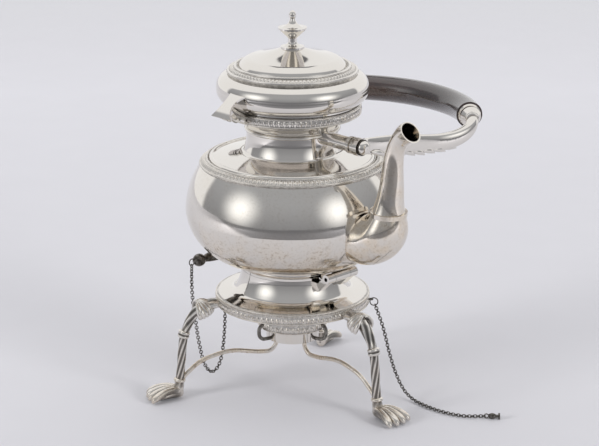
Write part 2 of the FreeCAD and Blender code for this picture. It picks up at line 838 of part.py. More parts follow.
def make_pivots(kettle_form):
    """The two bosses that carry the swing handle, each with a stud and a button cap."""
    stud_end = s.boss_reach + s.side_gap * 2 + s.eye_thickness
    collar_end = s.boss_reach - s.boss_groove_length
    collar_start = collar_end - s.boss_collar_length
    boss = [
        (0, s.boss_root),
        (s.boss_radius, s.boss_root),
        (s.boss_radius, collar_start),
        (s.boss_collar_radius, collar_start),
        (s.boss_collar_radius, collar_end),
        (s.boss_groove_radius, collar_end),
        (s.boss_groove_radius, s.boss_reach - s.boss_groove_length * 0.5),
        (s.boss_collar_radius, s.boss_reach - s.boss_groove_length * 0.5),
        (s.boss_collar_radius, s.boss_reach),
        (s.stud_radius, s.boss_reach),
        (s.stud_radius, stud_end + s.cap_socket),
        (0, stud_end + s.cap_socket),
    ]
    rounding = s.cap_radius * 0.75
    cap = [
        (s.stud_radius, stud_end),
        (s.cap_radius, stud_end),
        Via((rounding, stud_end + s.cap_length * 0.8), (s.crown_flat, stud_end + s.cap_length)),
        (0, stud_end + s.cap_length),
        (0, stud_end + s.cap_socket),
        (s.stud_radius, stud_end + s.cap_socket),
    ]
    for name, facing in (("front", ALONG_X), ("rear", AGAINST_X)):
        place = Placement(vec(0, 0, pivot_height), facing)
        blank = turned("boss_blank_" + name, boss, place)
        node(cut("pivot_boss_" + name, blank, kettle_form), "pivot_boss_" + name)
        node(turned("pivot_cap_" + name, cap, place), "pivot_cap_" + name)


def grip_frame(share):
    """Centre of the grip and the way it runs, from the rear end at -1 to the front end at 1."""
    bend = float(s.bail_grip_bend)
    turn = math.radians(float(s.grip_half_angle)) * share
    centre_y = float(s.bail_reach) - bend
    height = float(pivot_height - s.bail_grip_drop)
    centre = Vector(bend * math.sin(turn), centre_y + bend * math.cos(turn), height)
    return centre, Vector(math.cos(turn), -math.sin(turn), 0)


def make_bail():
    """The swing handle: a bowed wooden grip between two ferrules on cast leaf-shaped arms."""
    wires = []
    for share in GRIP_SHARES:
        centre, heading = grip_frame(share)
        radius = float(s.grip_radius) + (float(s.grip_end_radius) - float(s.grip_radius)) * abs(share)
        wires.append(oval(centre, heading.cross(Z_AXIS), Z_AXIS, radius, radius))
    node(shaped("bail_grip", Part.makeLoft(wires, True, False)), "bail_grip")

    ferrule = [
        (0, 0),
        (s.ferrule_lip_radius, 0),
        (s.ferrule_lip_radius, s.wall),
        (s.ferrule_radius, s.wall * 2),
        (s.ferrule_radius, s.ferrule_length - s.ferrule_tail_radius),
        (s.ferrule_tail_radius, s.ferrule_length),
        (0, s.ferrule_length),
    ]
    for name, side in (("front", 1), ("rear", -1)):
        end, heading = grip_frame(side)
        outward = heading * side
        place = Placement(end, Rotation(Z_AXIS, outward))
        node(turned("bail_ferrule_" + name, ferrule, place), "bail_ferrule_" + name)
        make_arm(name, side, end + outward * float(s.ferrule_length), outward)


def make_arm(name, side, tail, outward):
    """One cast arm, from its pivot eye to the ferrule's tail."""
    arm_plane = s.boss_reach + s.side_gap + s.eye_thickness * 0.5
    wires = []
    for share, out, drop, turn, tall, thick in arm_rows:
        angle = math.radians(float(turn))
        across = Vector(math.cos(angle) * side, math.sin(angle), 0)
        centre = vec((arm_plane + out) * side, share * tail.y, pivot_height - drop)
        wires.append(oval(centre, across, Z_AXIS, thick, tall, SQUARENESS))
    across = outward.cross(Z_AXIS) * -side
    wires.append(oval(tail, across, Z_AXIS, s.ferrule_tail_radius, s.ferrule_tail_radius))
    centre = vec(arm_plane * side, 0, pivot_height)
    eye = barrel(centre, X_AXIS, s.eye_radius, s.eye_thickness * 0.5)
    bore = barrel(centre, X_AXIS, s.stud_radius + s.running_gap, s.eye_thickness)
    arm = Part.makeLoft(wires, True, False).fuse(eye).cut(bore)
    node(shaped("bail_arm_" + name, arm.Solids[0]), "bail_arm_" + name)


def make_lid():
    """The lid: a cushioned rim with an inner bezel, a banded step, a low dome and a finial."""
    wall = s.wall
    bevel = wall * 0.8
    edge = s.lid_edge_radius
    bezel_outer = s.mouth_radius - wall - s.bezel_gap
    bezel = [
        (bezel_outer - wall, mouth_top - s.bezel_depth),
        (bezel_outer, mouth_top - s.bezel_depth),
        (bezel_outer, lid_base),
        (edge, lid_base),
        (edge, lid_rim_base),
        (bezel_outer - wall, lid_rim_base),
    ]
    node(turned("lid_bezel", bezel), "lid_bezel")

    under = (s.lid_under_radius, lid_rim_base + s.lid_under_rise)
    over = (s.lid_over_radius, lid_widest + s.lid_over_rise)
    lip = s.lid_step_radius - s.seam_lip
    rim_outer = [
        (edge, lid_rim_base),
        Via(under, (s.lid_radius, lid_widest)),
        Via(over, (s.lid_step_radius, lid_step)),
    ]
    rim_inner = [
        (lip, lid_step),
        (lip, lid_step - wall),
        (s.lid_step_radius - bevel, lid_step - wall),
        Via((s.lid_over_radius - bevel, lid_widest + s.lid_over_rise - bevel), (s.lid_radius - wall, lid_widest)),
        Via((s.lid_under_radius - bevel, lid_rim_base + s.lid_under_rise + bevel), (edge - wall, lid_rim_base)),
    ]
    node(turned("lid_rim", rim_outer + rim_inner), "lid_rim")
    form = turned("lid_form", [(0, lid_rim_base)] + rim_outer + [(0, lid_step)])

    sloped_band("lid_band", s.lid_step_radius, lid_step, s.lid_band_inner, dome_base)
    stud = s.finial_stud_radius
    middle = (s.dome_mid_radius, dome_base + s.dome_mid_rise)
    crest = (s.dome_crest_radius, dome_base + s.dome_crest_rise)
    shoulder = (s.dome_edge_radius, dome_base + s.dome_edge_rise)
    dome = [
        (s.lid_step_radius, lid_step),
        (s.lid_band_inner, dome_base),
        Via(shoulder, crest),
        Via(middle, (s.finial_base_radius, dome_top)),
        (stud, dome_top),
        (stud, dome_top - wall),
        (s.finial_base_radius, dome_top - wall),
        Via((middle[0], middle[1] - wall), (crest[0], crest[1] - wall)),
        Via((shoulder[0] - bevel, shoulder[1] - bevel), (s.lid_band_inner - wall, dome_base - bevel)),
        (lip, lid_step),
    ]
    node(turned("lid_dome", dome), "lid_dome")
    make_finial()
    return form


def make_finial():
    """The turned knob, with a stud through the dome and a nut under it."""
    stud = s.finial_stud_radius
    disc = dome_top + s.finial_disc_rise
    stem = s.finial_stem_radius
    waist = dome_top + s.finial_neck_rise
    top = dome_top + s.finial_height
    finial = [
        (0, dome_top - s.finial_stud_length),
        (stud, dome_top - s.finial_stud_length),
        (stud, dome_top),
        (s.finial_base_radius, dome_top),
        (s.finial_base_radius, dome_top + s.finial_base_height),
        Via((stem + s.finial_base_height, dome_top + s.finial_base_height * 2), (stem, dome_top + s.finial_stem_bottom)),
        (stem, dome_top + s.finial_stem_top),
        Via((stem + s.finial_disc_edge * 2, dome_top + s.finial_stem_top + s.finial_base_height * 1.6),
            (s.finial_disc_radius, disc - s.finial_disc_edge)),
        (s.finial_disc_radius, disc),
        Via((s.finial_neck_radius + s.finial_ball_radius, disc + s.finial_base_height * 1.5),
            (s.finial_neck_radius, waist)),
        Via((s.finial_ball_radius, top - s.finial_ball_radius), (s.crown_flat, top)),
        (0, top),
    ]
    node(turned("lid_finial", finial), "lid_finial")
    blank = doc.addObject("Part::Prism", "nut_blank")
    blank.Polygon = 6
    blank.setExpression("Circumradius", s.nut_width.text)
    blank.setExpression("Height", s.nut_height.text)
    nut_place = Placement(vec(0, 0, dome_top - s.wall - s.nut_height), Rotation())
    blank.Placement = nut_place
    hole = rod("nut_hole", stud, s.nut_height, nut_place)
    node(cut("finial_nut", blank, hole), "finial_nut")


def make_lid_hinge(lid_form):
    """The hinge: a waisted hood on the lid with the middle knuckle, outer knuckles and the pin."""
    axis = vec(0, -s.lid_hinge_reach, lid_hinge_height)
    half_knuckle = s.lid_knuckle_length * 0.5
    half_pin = s.lid_pin_length * 0.5

    def place(reach, rise):
        return vec(0, -reach, lid_hinge_height + rise)

    root = place(s.tab_root_reach, s.tab_root_rise)
    waist = place(s.tab_waist_reach, s.tab_waist_rise)
    lip = place(s.tab_lip_reach, s.tab_lip_rise)
    stations = [
        (root, waist - root, s.tab_root_width),
        (waist, lip - root, s.tab_waist_width),
        (lip, lip - waist, s.tab_lip_width),
    ]
    wires = []
    for centre, heading, width in stations:
        normal = X_AXIS.cross(heading).normalize() * (float(s.tab_thickness) * 0.5)
        half = X_AXIS * (float(width) * 0.5)
        corners = [centre - half - normal, centre + half - normal, centre + half + normal, centre - half + normal]
        wires.append(Part.makePolygon(corners + corners[:1]))
    hood = Part.makeLoft(wires, True, False)
    web_top = place(s.tab_web_reach, s.tab_web_rise)
    knuckle_side = Vector(0, float(s.knuckle_radius) * 0.8, float(s.knuckle_radius) * 0.5)
    web = slab([axis - knuckle_side, axis + knuckle_side, root, web_top, waist], X_AXIS, half_knuckle * 0.9)
    knuckle = barrel(axis, X_AXIS, s.knuckle_radius, half_knuckle)
    bore = barrel(axis, X_AXIS, s.lid_pin_radius + s.running_gap, s.lid_pin_length)
    tab = hood.fuse([web, knuckle]).cut(lid_form.Shape).cut(bore)
    tab = max(tab.Solids, key=lambda solid: solid.Volume)
    node(shaped("lid_hinge_tab", tab), "lid_hinge_tab")

    pin_hole = barrel(axis, X_AXIS, s.lid_pin_radius, s.lid_pin_length)
    mouth = Part.makeCylinder(float(s.mouth_band_radius), float(mouth_top))
    outer = half_knuckle + s.side_gap
    half_length = (half_pin - outer) * 0.5
    knuckles = []
    for direction in (1, -1):
        centre = vec((outer + half_length) * direction, -s.lid_hinge_reach, lid_hinge_height)
        eye = barrel(centre, X_AXIS, s.knuckle_radius, half_length)
        inward = Y_AXIS * (float(s.lid_hinge_reach) - float(s.mouth_radius))
        top = Z_AXIS * (float(s.lid_hinge_drop) - float(s.band_chamfer))
        foot = Z_AXIS * float(s.knuckle_radius)
        bracket = slab([centre - foot, centre + top, centre + top + inward, centre - foot + inward],
                       X_AXIS, half_length)
        knuckles.append(eye.fuse(bracket).cut(mouth).cut(pin_hole).Solids[0])
    node(shaped("lid_hinge_knuckles", Part.makeCompound(knuckles)), "lid_hinge_knuckles")
    pin_place = Placement(vec(-half_pin, -s.lid_hinge_reach, lid_hinge_height), ALONG_X)
    node(rod("lid_hinge_pin", s.lid_pin_radius, s.lid_pin_length, pin_place), "lid_hinge_pin")


def paw_section(reach, half_width, height):
    """An arched section of the paw, reaching a little below the sole."""
    left = vec(reach, -half_width, -s.sole_trim)
    right = vec(reach, half_width, -s.sole_trim)
    sole = Part.LineSegment(left, right).toShape()
    arch = Part.Arc(right, vec(reach, 0, height), left).toShape()
    return Part.Wire([sole, arch])


def leg_shape():
    """One cast leg at the front: shell-shaped knee, slender shin and a paw."""
    wires = []
    for reach, height, lean, thick, width in leg_rows:
        turn = math.radians(float(lean))
        across = Vector(math.sin(turn), 0, math.cos(turn))
        wires.append(oval(vec(reach, 0, height), across, Y_AXIS, thick, width))
    limb = Part.makeLoft(wires, True, False)
    heel = s.paw_heel_reach
    length = s.leg_foot_length
    paw = Part.makeLoft([
        paw_section(heel, s.paw_heel_half_width, s.paw_heel_height),
        paw_section(heel + length * 0.35, s.paw_ball_half_width, s.paw_ball_height),
        paw_section(heel + length * 0.75, s.paw_toe_half_width, s.paw_toe_height),
        paw_section(heel + length, s.paw_tip_half_width, s.paw_tip_height),
    ], True, False)
    rim = Part.makeCylinder(float(s.rim_radius), float(rim_top) * 2)
    below = Part.makeCylinder(float(heel + length) * 2, float(s.sole_trim) * 2, vec(0, 0, -s.sole_trim * 2))
    leg = limb.fuse(paw).cut(rim).cut(below)
    return max(leg.Solids, key=lambda solid: solid.Volume)


def rounded_path(points):
    """Straight runs joined by tangent arcs, each arc as large as its two runs allow."""
    edges = []
    start = points[0]
    for before, corner, after in zip(points, points[1:], points[2:]):
        to_before = before - corner
        to_after = after - corner
        reach = min(to_before.Length, to_after.Length) * ARC_SHARE
        first = corner + to_before.normalize() * reach
        last = corner + to_after.normalize() * reach
        bisector = (to_before + to_after).normalize()
        half_angle = to_before.getAngle(to_after) / 2
        radius = reach * math.tan(half_angle)
        centre = corner + bisector * (reach / math.cos(half_angle))
        middle = centre - bisector * radius
        edges.append(Part.LineSegment(start, first).toShape())
        edges.append(Part.Arc(first, middle, last).toShape())
        start = last
    edges.append(Part.LineSegment(start, points[-1]).toShape())
    return Part.Wire(edges)


def stretcher_shape(leg):
    """One bent rod from under the lamp to the ankle."""
    points = []
    for reach, drop in stretcher_rows:
        points.append(vec(reach, 0, s.lamp_floor - s.seat_gap - drop))
    path = rounded_path(points)
    section = Part.Wire(Part.Circle(points[0], points[1] - points[0], float(s.stretcher_radius)).toShape())
    bar = path.makePipeShell([section], True, False)
    level = float(s.lamp_floor - s.seat_gap)
    above = Part.makeCylinder(float(s.lamp_cup_radius), level, Vector(0, 0, level))
    bar = bar.cut(above).cut(leg)
    return max(bar.Solids, key=lambda solid: solid.Volume)


def make_legs():
    """Three legs and the three stretchers between them and the lamp."""
    leg = leg_shape()
    stretcher = stretcher_shape(leg)
    for name, angle in LEG_ANGLES.items():
        place = Placement(Vector(), Rotation(Z_AXIS, angle))
        for kind, shape in (("leg", leg), ("stretcher", stretcher)):
            piece = shaped("%s_%s" % (kind, name), shape)
            piece.Placement = place
            node(piece, "%s_%s" % (kind, name))


def make_lamp():
    """The spirit lamp: cup, banded collar, top plate, burner tube, wick and three hooks."""
    wall = s.wall
    floor = s.lamp_floor
    collar_base = floor + s.lamp_cup_height
    collar_top = collar_base + s.lamp_collar_height
    inner_collar = s.lamp_collar_radius - s.band_thickness
    cup = [
        (0, floor),
        (s.lamp_cup_radius, floor),
        (s.lamp_cup_radius, collar_base),
        (inner_collar, collar_base),
        (inner_collar, collar_top),
        (inner_collar - wall, collar_top),
        (inner_collar - wall, collar_base + wall),
        (s.lamp_cup_radius - wall, collar_base + wall),
        (s.lamp_cup_radius - wall, floor + wall),
        (0, floor + wall),
    ]
    node(turned("lamp_cup", cup), "lamp_cup")
    band("lamp_band", s.lamp_collar_radius, collar_base, s.lamp_collar_height, s.band_thickness)
    top = collar_top + s.lamp_top_rise
    burner = s.burner_radius
    plate_edge = s.lamp_collar_radius - s.band_chamfer
    plate = [
        (burner, collar_top),
        (plate_edge, collar_top),
        (plate_edge, collar_top + wall),
        (burner + s.burner_flange * 2, top),
        (burner, top),
    ]
    node(turned("lamp_top", plate), "lamp_top")
    bore = burner - wall
    tube = [
        (bore, top - s.burner_depth),
        (burner, top - s.burner_depth),
        (burner, top),
        (burner + s.burner_flange, top),
        (burner + s.burner_flange, top + wall),
        (burner, top + wall),
        (burner, top + s.burner_height),
        (bore, top + s.burner_height),
    ]
    node(turned("wick_holder", tube), "wick_holder")
    wick_radius = bore - s.wick_gap
    wick = [
        (0, top - s.wick_depth),
        (wick_radius, top - s.wick_depth),
        (wick_radius, top + s.burner_height),
        Via((wick_radius * 0.75, top + s.wick_height - s.wick_gap * 4), (s.crown_flat, top + s.wick_height)),
        (0, top + s.wick_height),
    ]
    node(turned("wick", wick), "wick")
    make_lamp_handles(floor, collar_base)


def make_lamp_handles(floor, collar_base):
    """Three round hooks, each bent from the collar down and in under the cup's side."""
    radius = float(s.lamp_handle_radius)
    reach = s.lamp_handle_reach
    top = collar_base + s.lamp_handle_top
    foot = floor + s.lamp_handle_radius
    points = [
        vec(s.lamp_cup_radius - s.lamp_handle_radius, 0, top),
        vec(reach, 0, top),
        vec(reach, 0, foot),
        vec(s.lamp_cup_radius - s.lamp_handle_radius * 2, 0, foot),
    ]
    section = Part.Wire(Part.Circle(points[0], points[1] - points[0], radius).toShape())
    hook = rounded_path(points).makePipeShell([section], True, False)
    cup = Part.makeCylinder(float(s.lamp_cup_radius), float(collar_base))
    height = float(s.lamp_collar_height)
    collar = Part.makeCylinder(float(s.lamp_collar_radius), height, vec(0, 0, collar_base))
    hook = hook.cut(cup.fuse(collar))
    hook = max(hook.Solids, key=lambda solid: solid.Volume)
    for name, angle in LAMP_HANDLE_ANGLES.items():
        piece = shaped("lamp_handle_" + name, hook)
        piece.Placement = Placement(Vector(), Rotation(Z_AXIS, angle))
        node(piece, "lamp_handle_" + name)


def link_shape():
    """One oval chain link in the XY plane, long along X, bent in short straight runs."""
    wire = float(s.link_wire) / 2
    half_length = float(s.link_length) / 2 - wire
    half_width = float(s.link_width) / 2 - wire
    ease = half_width * LINK_EASE
    quarter = [(half_length, half_width - ease), (half_length - ease, half_width)]
    path = quarter + [(-x, y) for x, y in reversed(quarter)]
    path += [(-x, -y) for x, y in path]
    rings = []
    for index, corner in enumerate(path):
        before = Vector(*path[index - 1], 0)
        after = Vector(*path[(index + 1) % len(path)], 0)
        here = Vector(*corner, 0)
        arriving = (here - before).normalize()
        leaving = (after - here).normalize()
        outward = (leaving - arriving).normalize() * -1
        spread = 1 / math.cos(arriving.getAngle(leaving) / 2)
        ring_points = []
        for side in range(LINK_SIDES):
            turn = 2 * math.pi * (side + 0.5) / LINK_SIDES
            ring_points.append(here - outward * (wire * spread * math.cos(turn)) + Z_AXIS * (wire * math.sin(turn)))
        rings.append(ring_points)
    faces = []
    for first, second in zip(rings, rings[1:] + rings[:1]):
        for side in range(LINK_SIDES):
            following = (side + 1) % LINK_SIDES
            corners = [first[side], first[following], second[following], second[side], first[side]]
            faces.append(Part.Face(Part.makePolygon(corners)))
    shell = Part.makeShell(faces)
    shell.sewShape()
    link = Part.makeSolid(shell)
    if link.Volume < 0:
        link.reverse()
    return link


def route_curve(points):
    """A smooth curve drawn towards its points, from the first to the last."""
    curve = Part.BSplineCurve()
    inner = len(points) - 2
    knots = list(range(inner + 1))
    curve.buildFromPolesMultsKnots(points, [3] + [1] * (inner - 1) + [3], knots, False, 2)
    return curve


def make_chain(name, points, first_ring, last_ring):
    """Oval links along a route; each end hangs in a ring given by its hole's radius and its normal."""
    hole = float(s.link_length) / 2 - float(s.link_wire)
    gap = float(s.link_gap)
    edge = route_curve(points).toShape()
    start = hole + first_ring[0] - gap
    span = edge.Length - start - (hole + last_ring[0] - gap)
    count = round(span / (2 * hole - gap))
    across = first_ring[1]
    frames = []
    for index in range(count + 1):
        parameter = edge.getParameterByLength(start + span * index / count)
        heading = edge.tangentAt(parameter)
        across = (across - heading * across.dot(heading)).normalize()
        frames.append((edge.valueAt(parameter), heading, across))
    ring_side = heading.dot(across.cross(last_ring[1]))
    ring_turn = math.degrees(math.atan2(ring_side, across.dot(last_ring[1])))
    twist = (ring_turn - QUARTER * (count % 2) + QUARTER) % (2 * QUARTER) - QUARTER
    link = link_shape()
    links = []
    for index, (middle, heading, across) in enumerate(frames):
        turn = Rotation(heading, twist * index / count + QUARTER * (index % 2))
        piece = link.copy()
        piece.Placement = Placement(middle, Rotation(heading, turn.multVec(across), Vector(), "XYZ"))
        links.append(piece)
    print("%s: %d links, route %.1f mm, pitch %.3f mm, twist %.1f degrees"
          % (name, len(links), edge.Length, span / count, twist))
    node(shaped(name, Part.makeCompound(links)), name)


def make_chains(dish_form):
    """Eyelets and rings on the rim, the two chains and the loose pin on the floor."""
    skirt = float(s.rim_radius - s.band_thickness - s.wall)
    eyelet = Part.makeTorus(float(s.eyelet_radius), float(s.eyelet_wire))
    eyelet_hole = float(s.eyelet_radius - s.eyelet_wire)

    rear_place = polar(skirt - float(s.eyelet_stand_off), s.rear_eyelet_angle, s.rim_bottom + s.rear_eyelet_rise)
    rear_normal = polar(1, float(s.rear_eyelet_angle) + QUARTER, 0)
    inside = Part.makeCylinder(skirt, float(rim_top))
    rear_eyelet = eyelet.copy()
    rear_eyelet.Placement = Placement(rear_place, Rotation(Z_AXIS, rear_normal))
    node(shaped("rear_eyelet", rear_eyelet.common(inside)), "rear_eyelet")
    rear_points = [pin_ring_centre()] + [Vector(*point) for point in REAR_CHAIN_ROUTE] + [rear_place]
    pin_ring_hole = float(s.pin_ring_radius - s.ring_wire)
    make_chain("rear_chain", rear_points, (pin_ring_hole, X_AXIS), (eyelet_hole, rear_normal))

    front_radius = s.rim_radius + s.eyelet_stand_off
    front_height = s.rim_bottom + s.front_eyelet_rise
    front_normal = polar(1, float(s.front_eyelet_angle) + QUARTER, 0)
    front_eyelet = eyelet.copy()
    front_eyelet.Placement = Placement(polar(front_radius, s.front_eyelet_angle, front_height), Rotation())
    node(shaped("front_eyelet", front_eyelet.cut(dish_form.Shape)), "front_eyelet")
    ring_radius = front_radius + s.eyelet_radius + s.chain_ring_out
    ring_middle = polar(ring_radius, s.front_eyelet_angle, front_height - s.chain_ring_down)
    ring_place = Placement(ring_middle, Rotation(Z_AXIS, front_normal))
    node(ring("front_chain_ring", s.chain_ring_radius, s.ring_wire, ring_place), "front_chain_ring")

    eye = vec(*LOOSE_PIN_EYE, s.loose_disc_radius)
    heading = polar(1, LOOSE_PIN_ANGLE, 0)
    eye_normal = heading.cross(Z_AXIS)
    make_loose_pin(eye, heading, eye_normal)
    front_points = [ring_middle] + [Vector(*point) for point in FRONT_CHAIN_ROUTE] + [eye]
    ring_hole = float(s.chain_ring_radius - s.ring_wire)
    make_chain("front_chain", front_points, (ring_hole, front_normal), (eyelet_hole, eye_normal))


def make_loose_pin(eye, heading, eye_normal):
    """The short stub of the front pin at the end of its chain, lying on the floor."""
    knob_start = s.eyelet_radius
    knob_end = knob_start + s.loose_knob_length
    disc_start = s.loose_pin_length - s.loose_disc_length
    outline = [
        (0, knob_start),
        (s.loose_neck_radius, knob_start),
        Via((s.loose_knob_radius, knob_start + s.loose_knob_length * 0.5), (s.loose_neck_radius, knob_end)),
        (s.loose_neck_radius, disc_start),
        (s.loose_disc_radius, disc_start),
        (s.loose_disc_radius, s.loose_pin_length),
        (0, s.loose_pin_length),
    ]
    stub = turned("pin_stub", outline, Placement(eye, Rotation(Z_AXIS, heading)))
    loop = ring("stub_eye", s.eyelet_radius, s.eyelet_wire, Placement(eye, Rotation(Z_AXIS, eye_normal)))
    node(fuse("loose_pin", [stub, loop]), "loose_pin")


dish = make_stand_dish()
kettle = make_kettle_shells()
doc.recompute()
make_lugs(dish, kettle)
make_rear_pin()
make_spout(kettle)
make_pivots(kettle)
make_bail()
lid = make_lid()
doc.recompute()
make_lid_hinge(lid)
make_legs()
make_lamp()
make_chains(dish)
doc.recompute()

for item in doc.Objects:
    if "Invalid" in item.State or "Error" in item.State:
        raise RuntimeError("%s failed: %s" % (item.Label, item.State))
for piece in NODES:
    if piece.Shape.isNull() or not piece.Shape.isValid() or not piece.Shape.Solids:
        raise RuntimeError("%s has no valid solid" % piece.Label)

os.makedirs("parts", exist_ok=True)
for piece in NODES:
    piece.Shape.exportStep("parts/%s.step" % piece.Label)
print("%d pieces written" % len(NODES))
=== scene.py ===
"""A silver spirit kettle on its stand, dressed over its measured frame."""

import json
import math

import bmesh
import bpy
from mathutils import Matrix, Vector


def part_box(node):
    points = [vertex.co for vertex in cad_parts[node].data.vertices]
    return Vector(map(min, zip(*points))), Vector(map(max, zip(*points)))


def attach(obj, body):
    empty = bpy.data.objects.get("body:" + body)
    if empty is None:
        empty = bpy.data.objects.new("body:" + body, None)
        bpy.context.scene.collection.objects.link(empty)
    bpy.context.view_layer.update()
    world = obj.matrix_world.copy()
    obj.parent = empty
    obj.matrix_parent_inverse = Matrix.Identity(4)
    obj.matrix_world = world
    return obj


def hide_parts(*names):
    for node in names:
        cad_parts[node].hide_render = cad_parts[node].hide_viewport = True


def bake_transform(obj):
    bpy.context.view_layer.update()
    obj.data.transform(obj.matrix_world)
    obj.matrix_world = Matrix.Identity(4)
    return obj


bl_info = {
    "name": "Silver spirit kettle",
    "version": (1, 0, 0),
    "blender": (4, 5, 0),
    "location": "View3D > Sidebar > Kettle",
    "description": "Chains, chased bands, cast legs and finishes of a silver kettle on its stand",
    "category": "Object",
}

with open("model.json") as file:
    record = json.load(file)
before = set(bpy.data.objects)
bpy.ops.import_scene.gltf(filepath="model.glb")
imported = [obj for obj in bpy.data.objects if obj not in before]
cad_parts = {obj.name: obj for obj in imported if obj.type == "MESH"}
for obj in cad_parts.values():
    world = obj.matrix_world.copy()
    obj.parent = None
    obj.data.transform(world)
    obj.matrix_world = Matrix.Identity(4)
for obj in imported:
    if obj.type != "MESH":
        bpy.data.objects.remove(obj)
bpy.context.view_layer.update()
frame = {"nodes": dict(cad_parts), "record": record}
NODES = frame["nodes"]

MM = 0.001
UP = Vector((0, 0, 1))

# The camera: the level way to it from the kettle, what it looks at, and its lens in millimetres.
FACING = Vector((math.sqrt(0.5), -math.sqrt(0.5), 0))
AIM = Vector((0, 0, 0.1575))
CAMERA_DISTANCE = 2.07
CAMERA_PITCH = math.radians(17.5)
LENS = 138.2
SENSOR_WIDTH = 36
PICTURE_WIDTH = 599
SHIFT_PIXELS = 7

# The two soft lamps: how far round from the camera in degrees, how high, and their glow in mirrors.
LAMP_TURNS = {"left_lamp": -60, "right_lamp": 52}
LAMP_RISE = math.radians(16)
LAMP_DISTANCE = 1.8
LAMP_SIZE = 0.55
LAMP_ENERGY = 15
GLOW_REACH = math.radians(32)
GLOW_FALL = 3
GLOW = (1.1, 1.1, 1.08)

# Light of the tent, the room in front of it, the dark board and the backdrop, as linear values.
TENT = (0.95, 0.95, 0.955)
ROOM_LOW = (0.28, 0.285, 0.3)
ROOM_HIGH = (0.42, 0.43, 0.45)
BOARD = (0.16, 0.16, 0.17)
BACKDROP = (0.70, 0.70, 0.73)
HOOD_TILT = math.radians(30)

# The sheet, in metres: where it ends towards the camera, where painted light makes it paler towards
# the back and from which tone to which, and where it fades into the backdrop.
FLOOR_SIZE = 9
SHEET_FRONT = (0.62, 0.45)
SHEET_BACK = (0.15, -1.1)
SHEET_PAINTED_LIGHT = (0.88, 1.21)
SHEET_FADE = (1.1, 2.2)
ROOM_FLOOR = "77777B"

# Sizes of the patterns in the finishes. Paper's fibre is too fine to show, so it is a broad mottle.
CLOUD_SIZE = 14 * MM
SPECK_SIZE = 2.2 * MM
WAVE_SIZE = 26 * MM
RUB_SIZE = 3 * MM
GRAIN_SIZE = 2.4 * MM
PORE_SIZE = 0.6 * MM
STRAND_SIZE = 9 * MM
FIBRE_SIZE = 60 * MM

# The charred end of the wick: its colour and the heights between which it sets in.
CHAR = "2A2521"
CHAR_HEIGHTS = (0.083, 0.088)

# Settings that many shader nodes share.
SMOOTH = {"interpolation_type": "SMOOTHSTEP"}
DOT = {"operation": "DOT_PRODUCT"}
TIMES = {"operation": "MULTIPLY"}
COLOUR = {"data_type": "RGBA"}

# Routes of the two chains, in millimetres: from the pin's ring to the eyelet under the rim,
# and from the ring on the rim to the eye of the pin that lies on the floor.
REAR_CHAIN_ROUTE = (
    (-60, -68.5, 122.3), (-60, -69.2, 106), (-59.8, -68.6, 88), (-59.5, -65.4, 66),
    (-59, -61.8, 42), (-58.4, -56.4, 20), (-57.6, -47.2, 9.4), (-56.9, -37.6, 16.5),
    (-56.6, -33.6, 34), (-56.5, -31.9, 50), (-56.5, -31, 68), (-56.19, -30.64, 87),
)
FRONT_CHAIN_ROUTE = (
    (58.55, 45.74, 85.8), (61.8, 48.2, 75), (68.6, 48.6, 61), (75, 47.9, 43.5), (82, 48.7, 25),
    (91.5, 49.7, 9), (103, 50.2, 1.9), (121, 47.2, 1.9), (138.5, 46.6, 1.9), (154.5, 49.6, 1.9),
    (167, 56, 1.9), (177.5, 66, 2.8),
)
# The way that the first link of each chain lies across, how far the rings at the ends reach into
# the route, and the twist over so many links that hangs the last one square in its ring.
REAR_CHAIN_ACROSS = Vector((1, 0, 0))
FRONT_CHAIN_ACROSS = Vector((-0.616, 0.788, 0))
REAR_RING_SHARE = 3.65 * MM
FRONT_RING_SHARE = 4.25 * MM
LAST_RING_SHARE = 2.5 * MM
REAR_TWIST = math.radians(-53.6)
FRONT_TWIST = math.radians(34.9)
REAR_TWIST_LINKS = 12
FRONT_TWIST_LINKS = 68

LEG_TURNS = {"leg_front": 0, "leg_rear": 120, "leg_left": 240}
# A leg's limb from the rim to the sole: reach, height, lean below level, half thick and half wide,
# and the depth of its twisted flutes. The other forms of the leg have no flutes.
LIMB_STATIONS = (
    (66.0, 87.6, 0, 4.4, 8.6, 0.05), (72.0, 88.2, 2, 4.8, 9.2, 0.1),
    (79.5, 87.2, 12, 5.4, 8.8, 0.12), (85.2, 85.2, 28, 5.6, 8.2, 0.2),
    (89.2, 82.2, 44, 5.5, 7.6, 0.28), (92.4, 78.6, 54, 5.2, 7.0, 0.32),
    (95.0, 74.6, 60, 5.0, 6.3, 0.32), (97.2, 70.6, 64, 4.8, 5.7, 0.3),
    (99.0, 66.6, 69, 4.5, 5.2, 0.24), (100.6, 62.0, 73, 4.2, 4.6, 0.1),
    (101.8, 57.5, 78, 4.0, 4.3, 0.15), (102.3, 54.2, 81, 4.5, 4.9, 0.22),
    (102.7, 50.6, 83, 4.6, 5.0, 0.24), (103.1, 47.0, 85, 4.6, 5.0, 0.24),
    (103.4, 43.4, 86, 4.5, 4.9, 0.24), (103.7, 39.8, 87, 4.5, 4.9, 0.24),
    (104.0, 36.2, 87, 4.4, 4.8, 0.24), (104.3, 32.6, 86, 4.4, 4.8, 0.24),
    (104.6, 29.0, 86, 4.4, 4.8, 0.24), (104.9, 25.4, 85, 4.4, 4.8, 0.24),
    (105.3, 21.8, 85, 4.4, 4.8, 0.22), (105.6, 18.2, 84, 4.4, 4.7, 0.15),
    (106.2, 14.0, 83, 4.8, 5.2, 0.1), (106.9, 9.6, 82, 5.0, 5.6, 0.05),
    (107.6, 5.2, 82, 4.8, 5.4, 0.05),
)
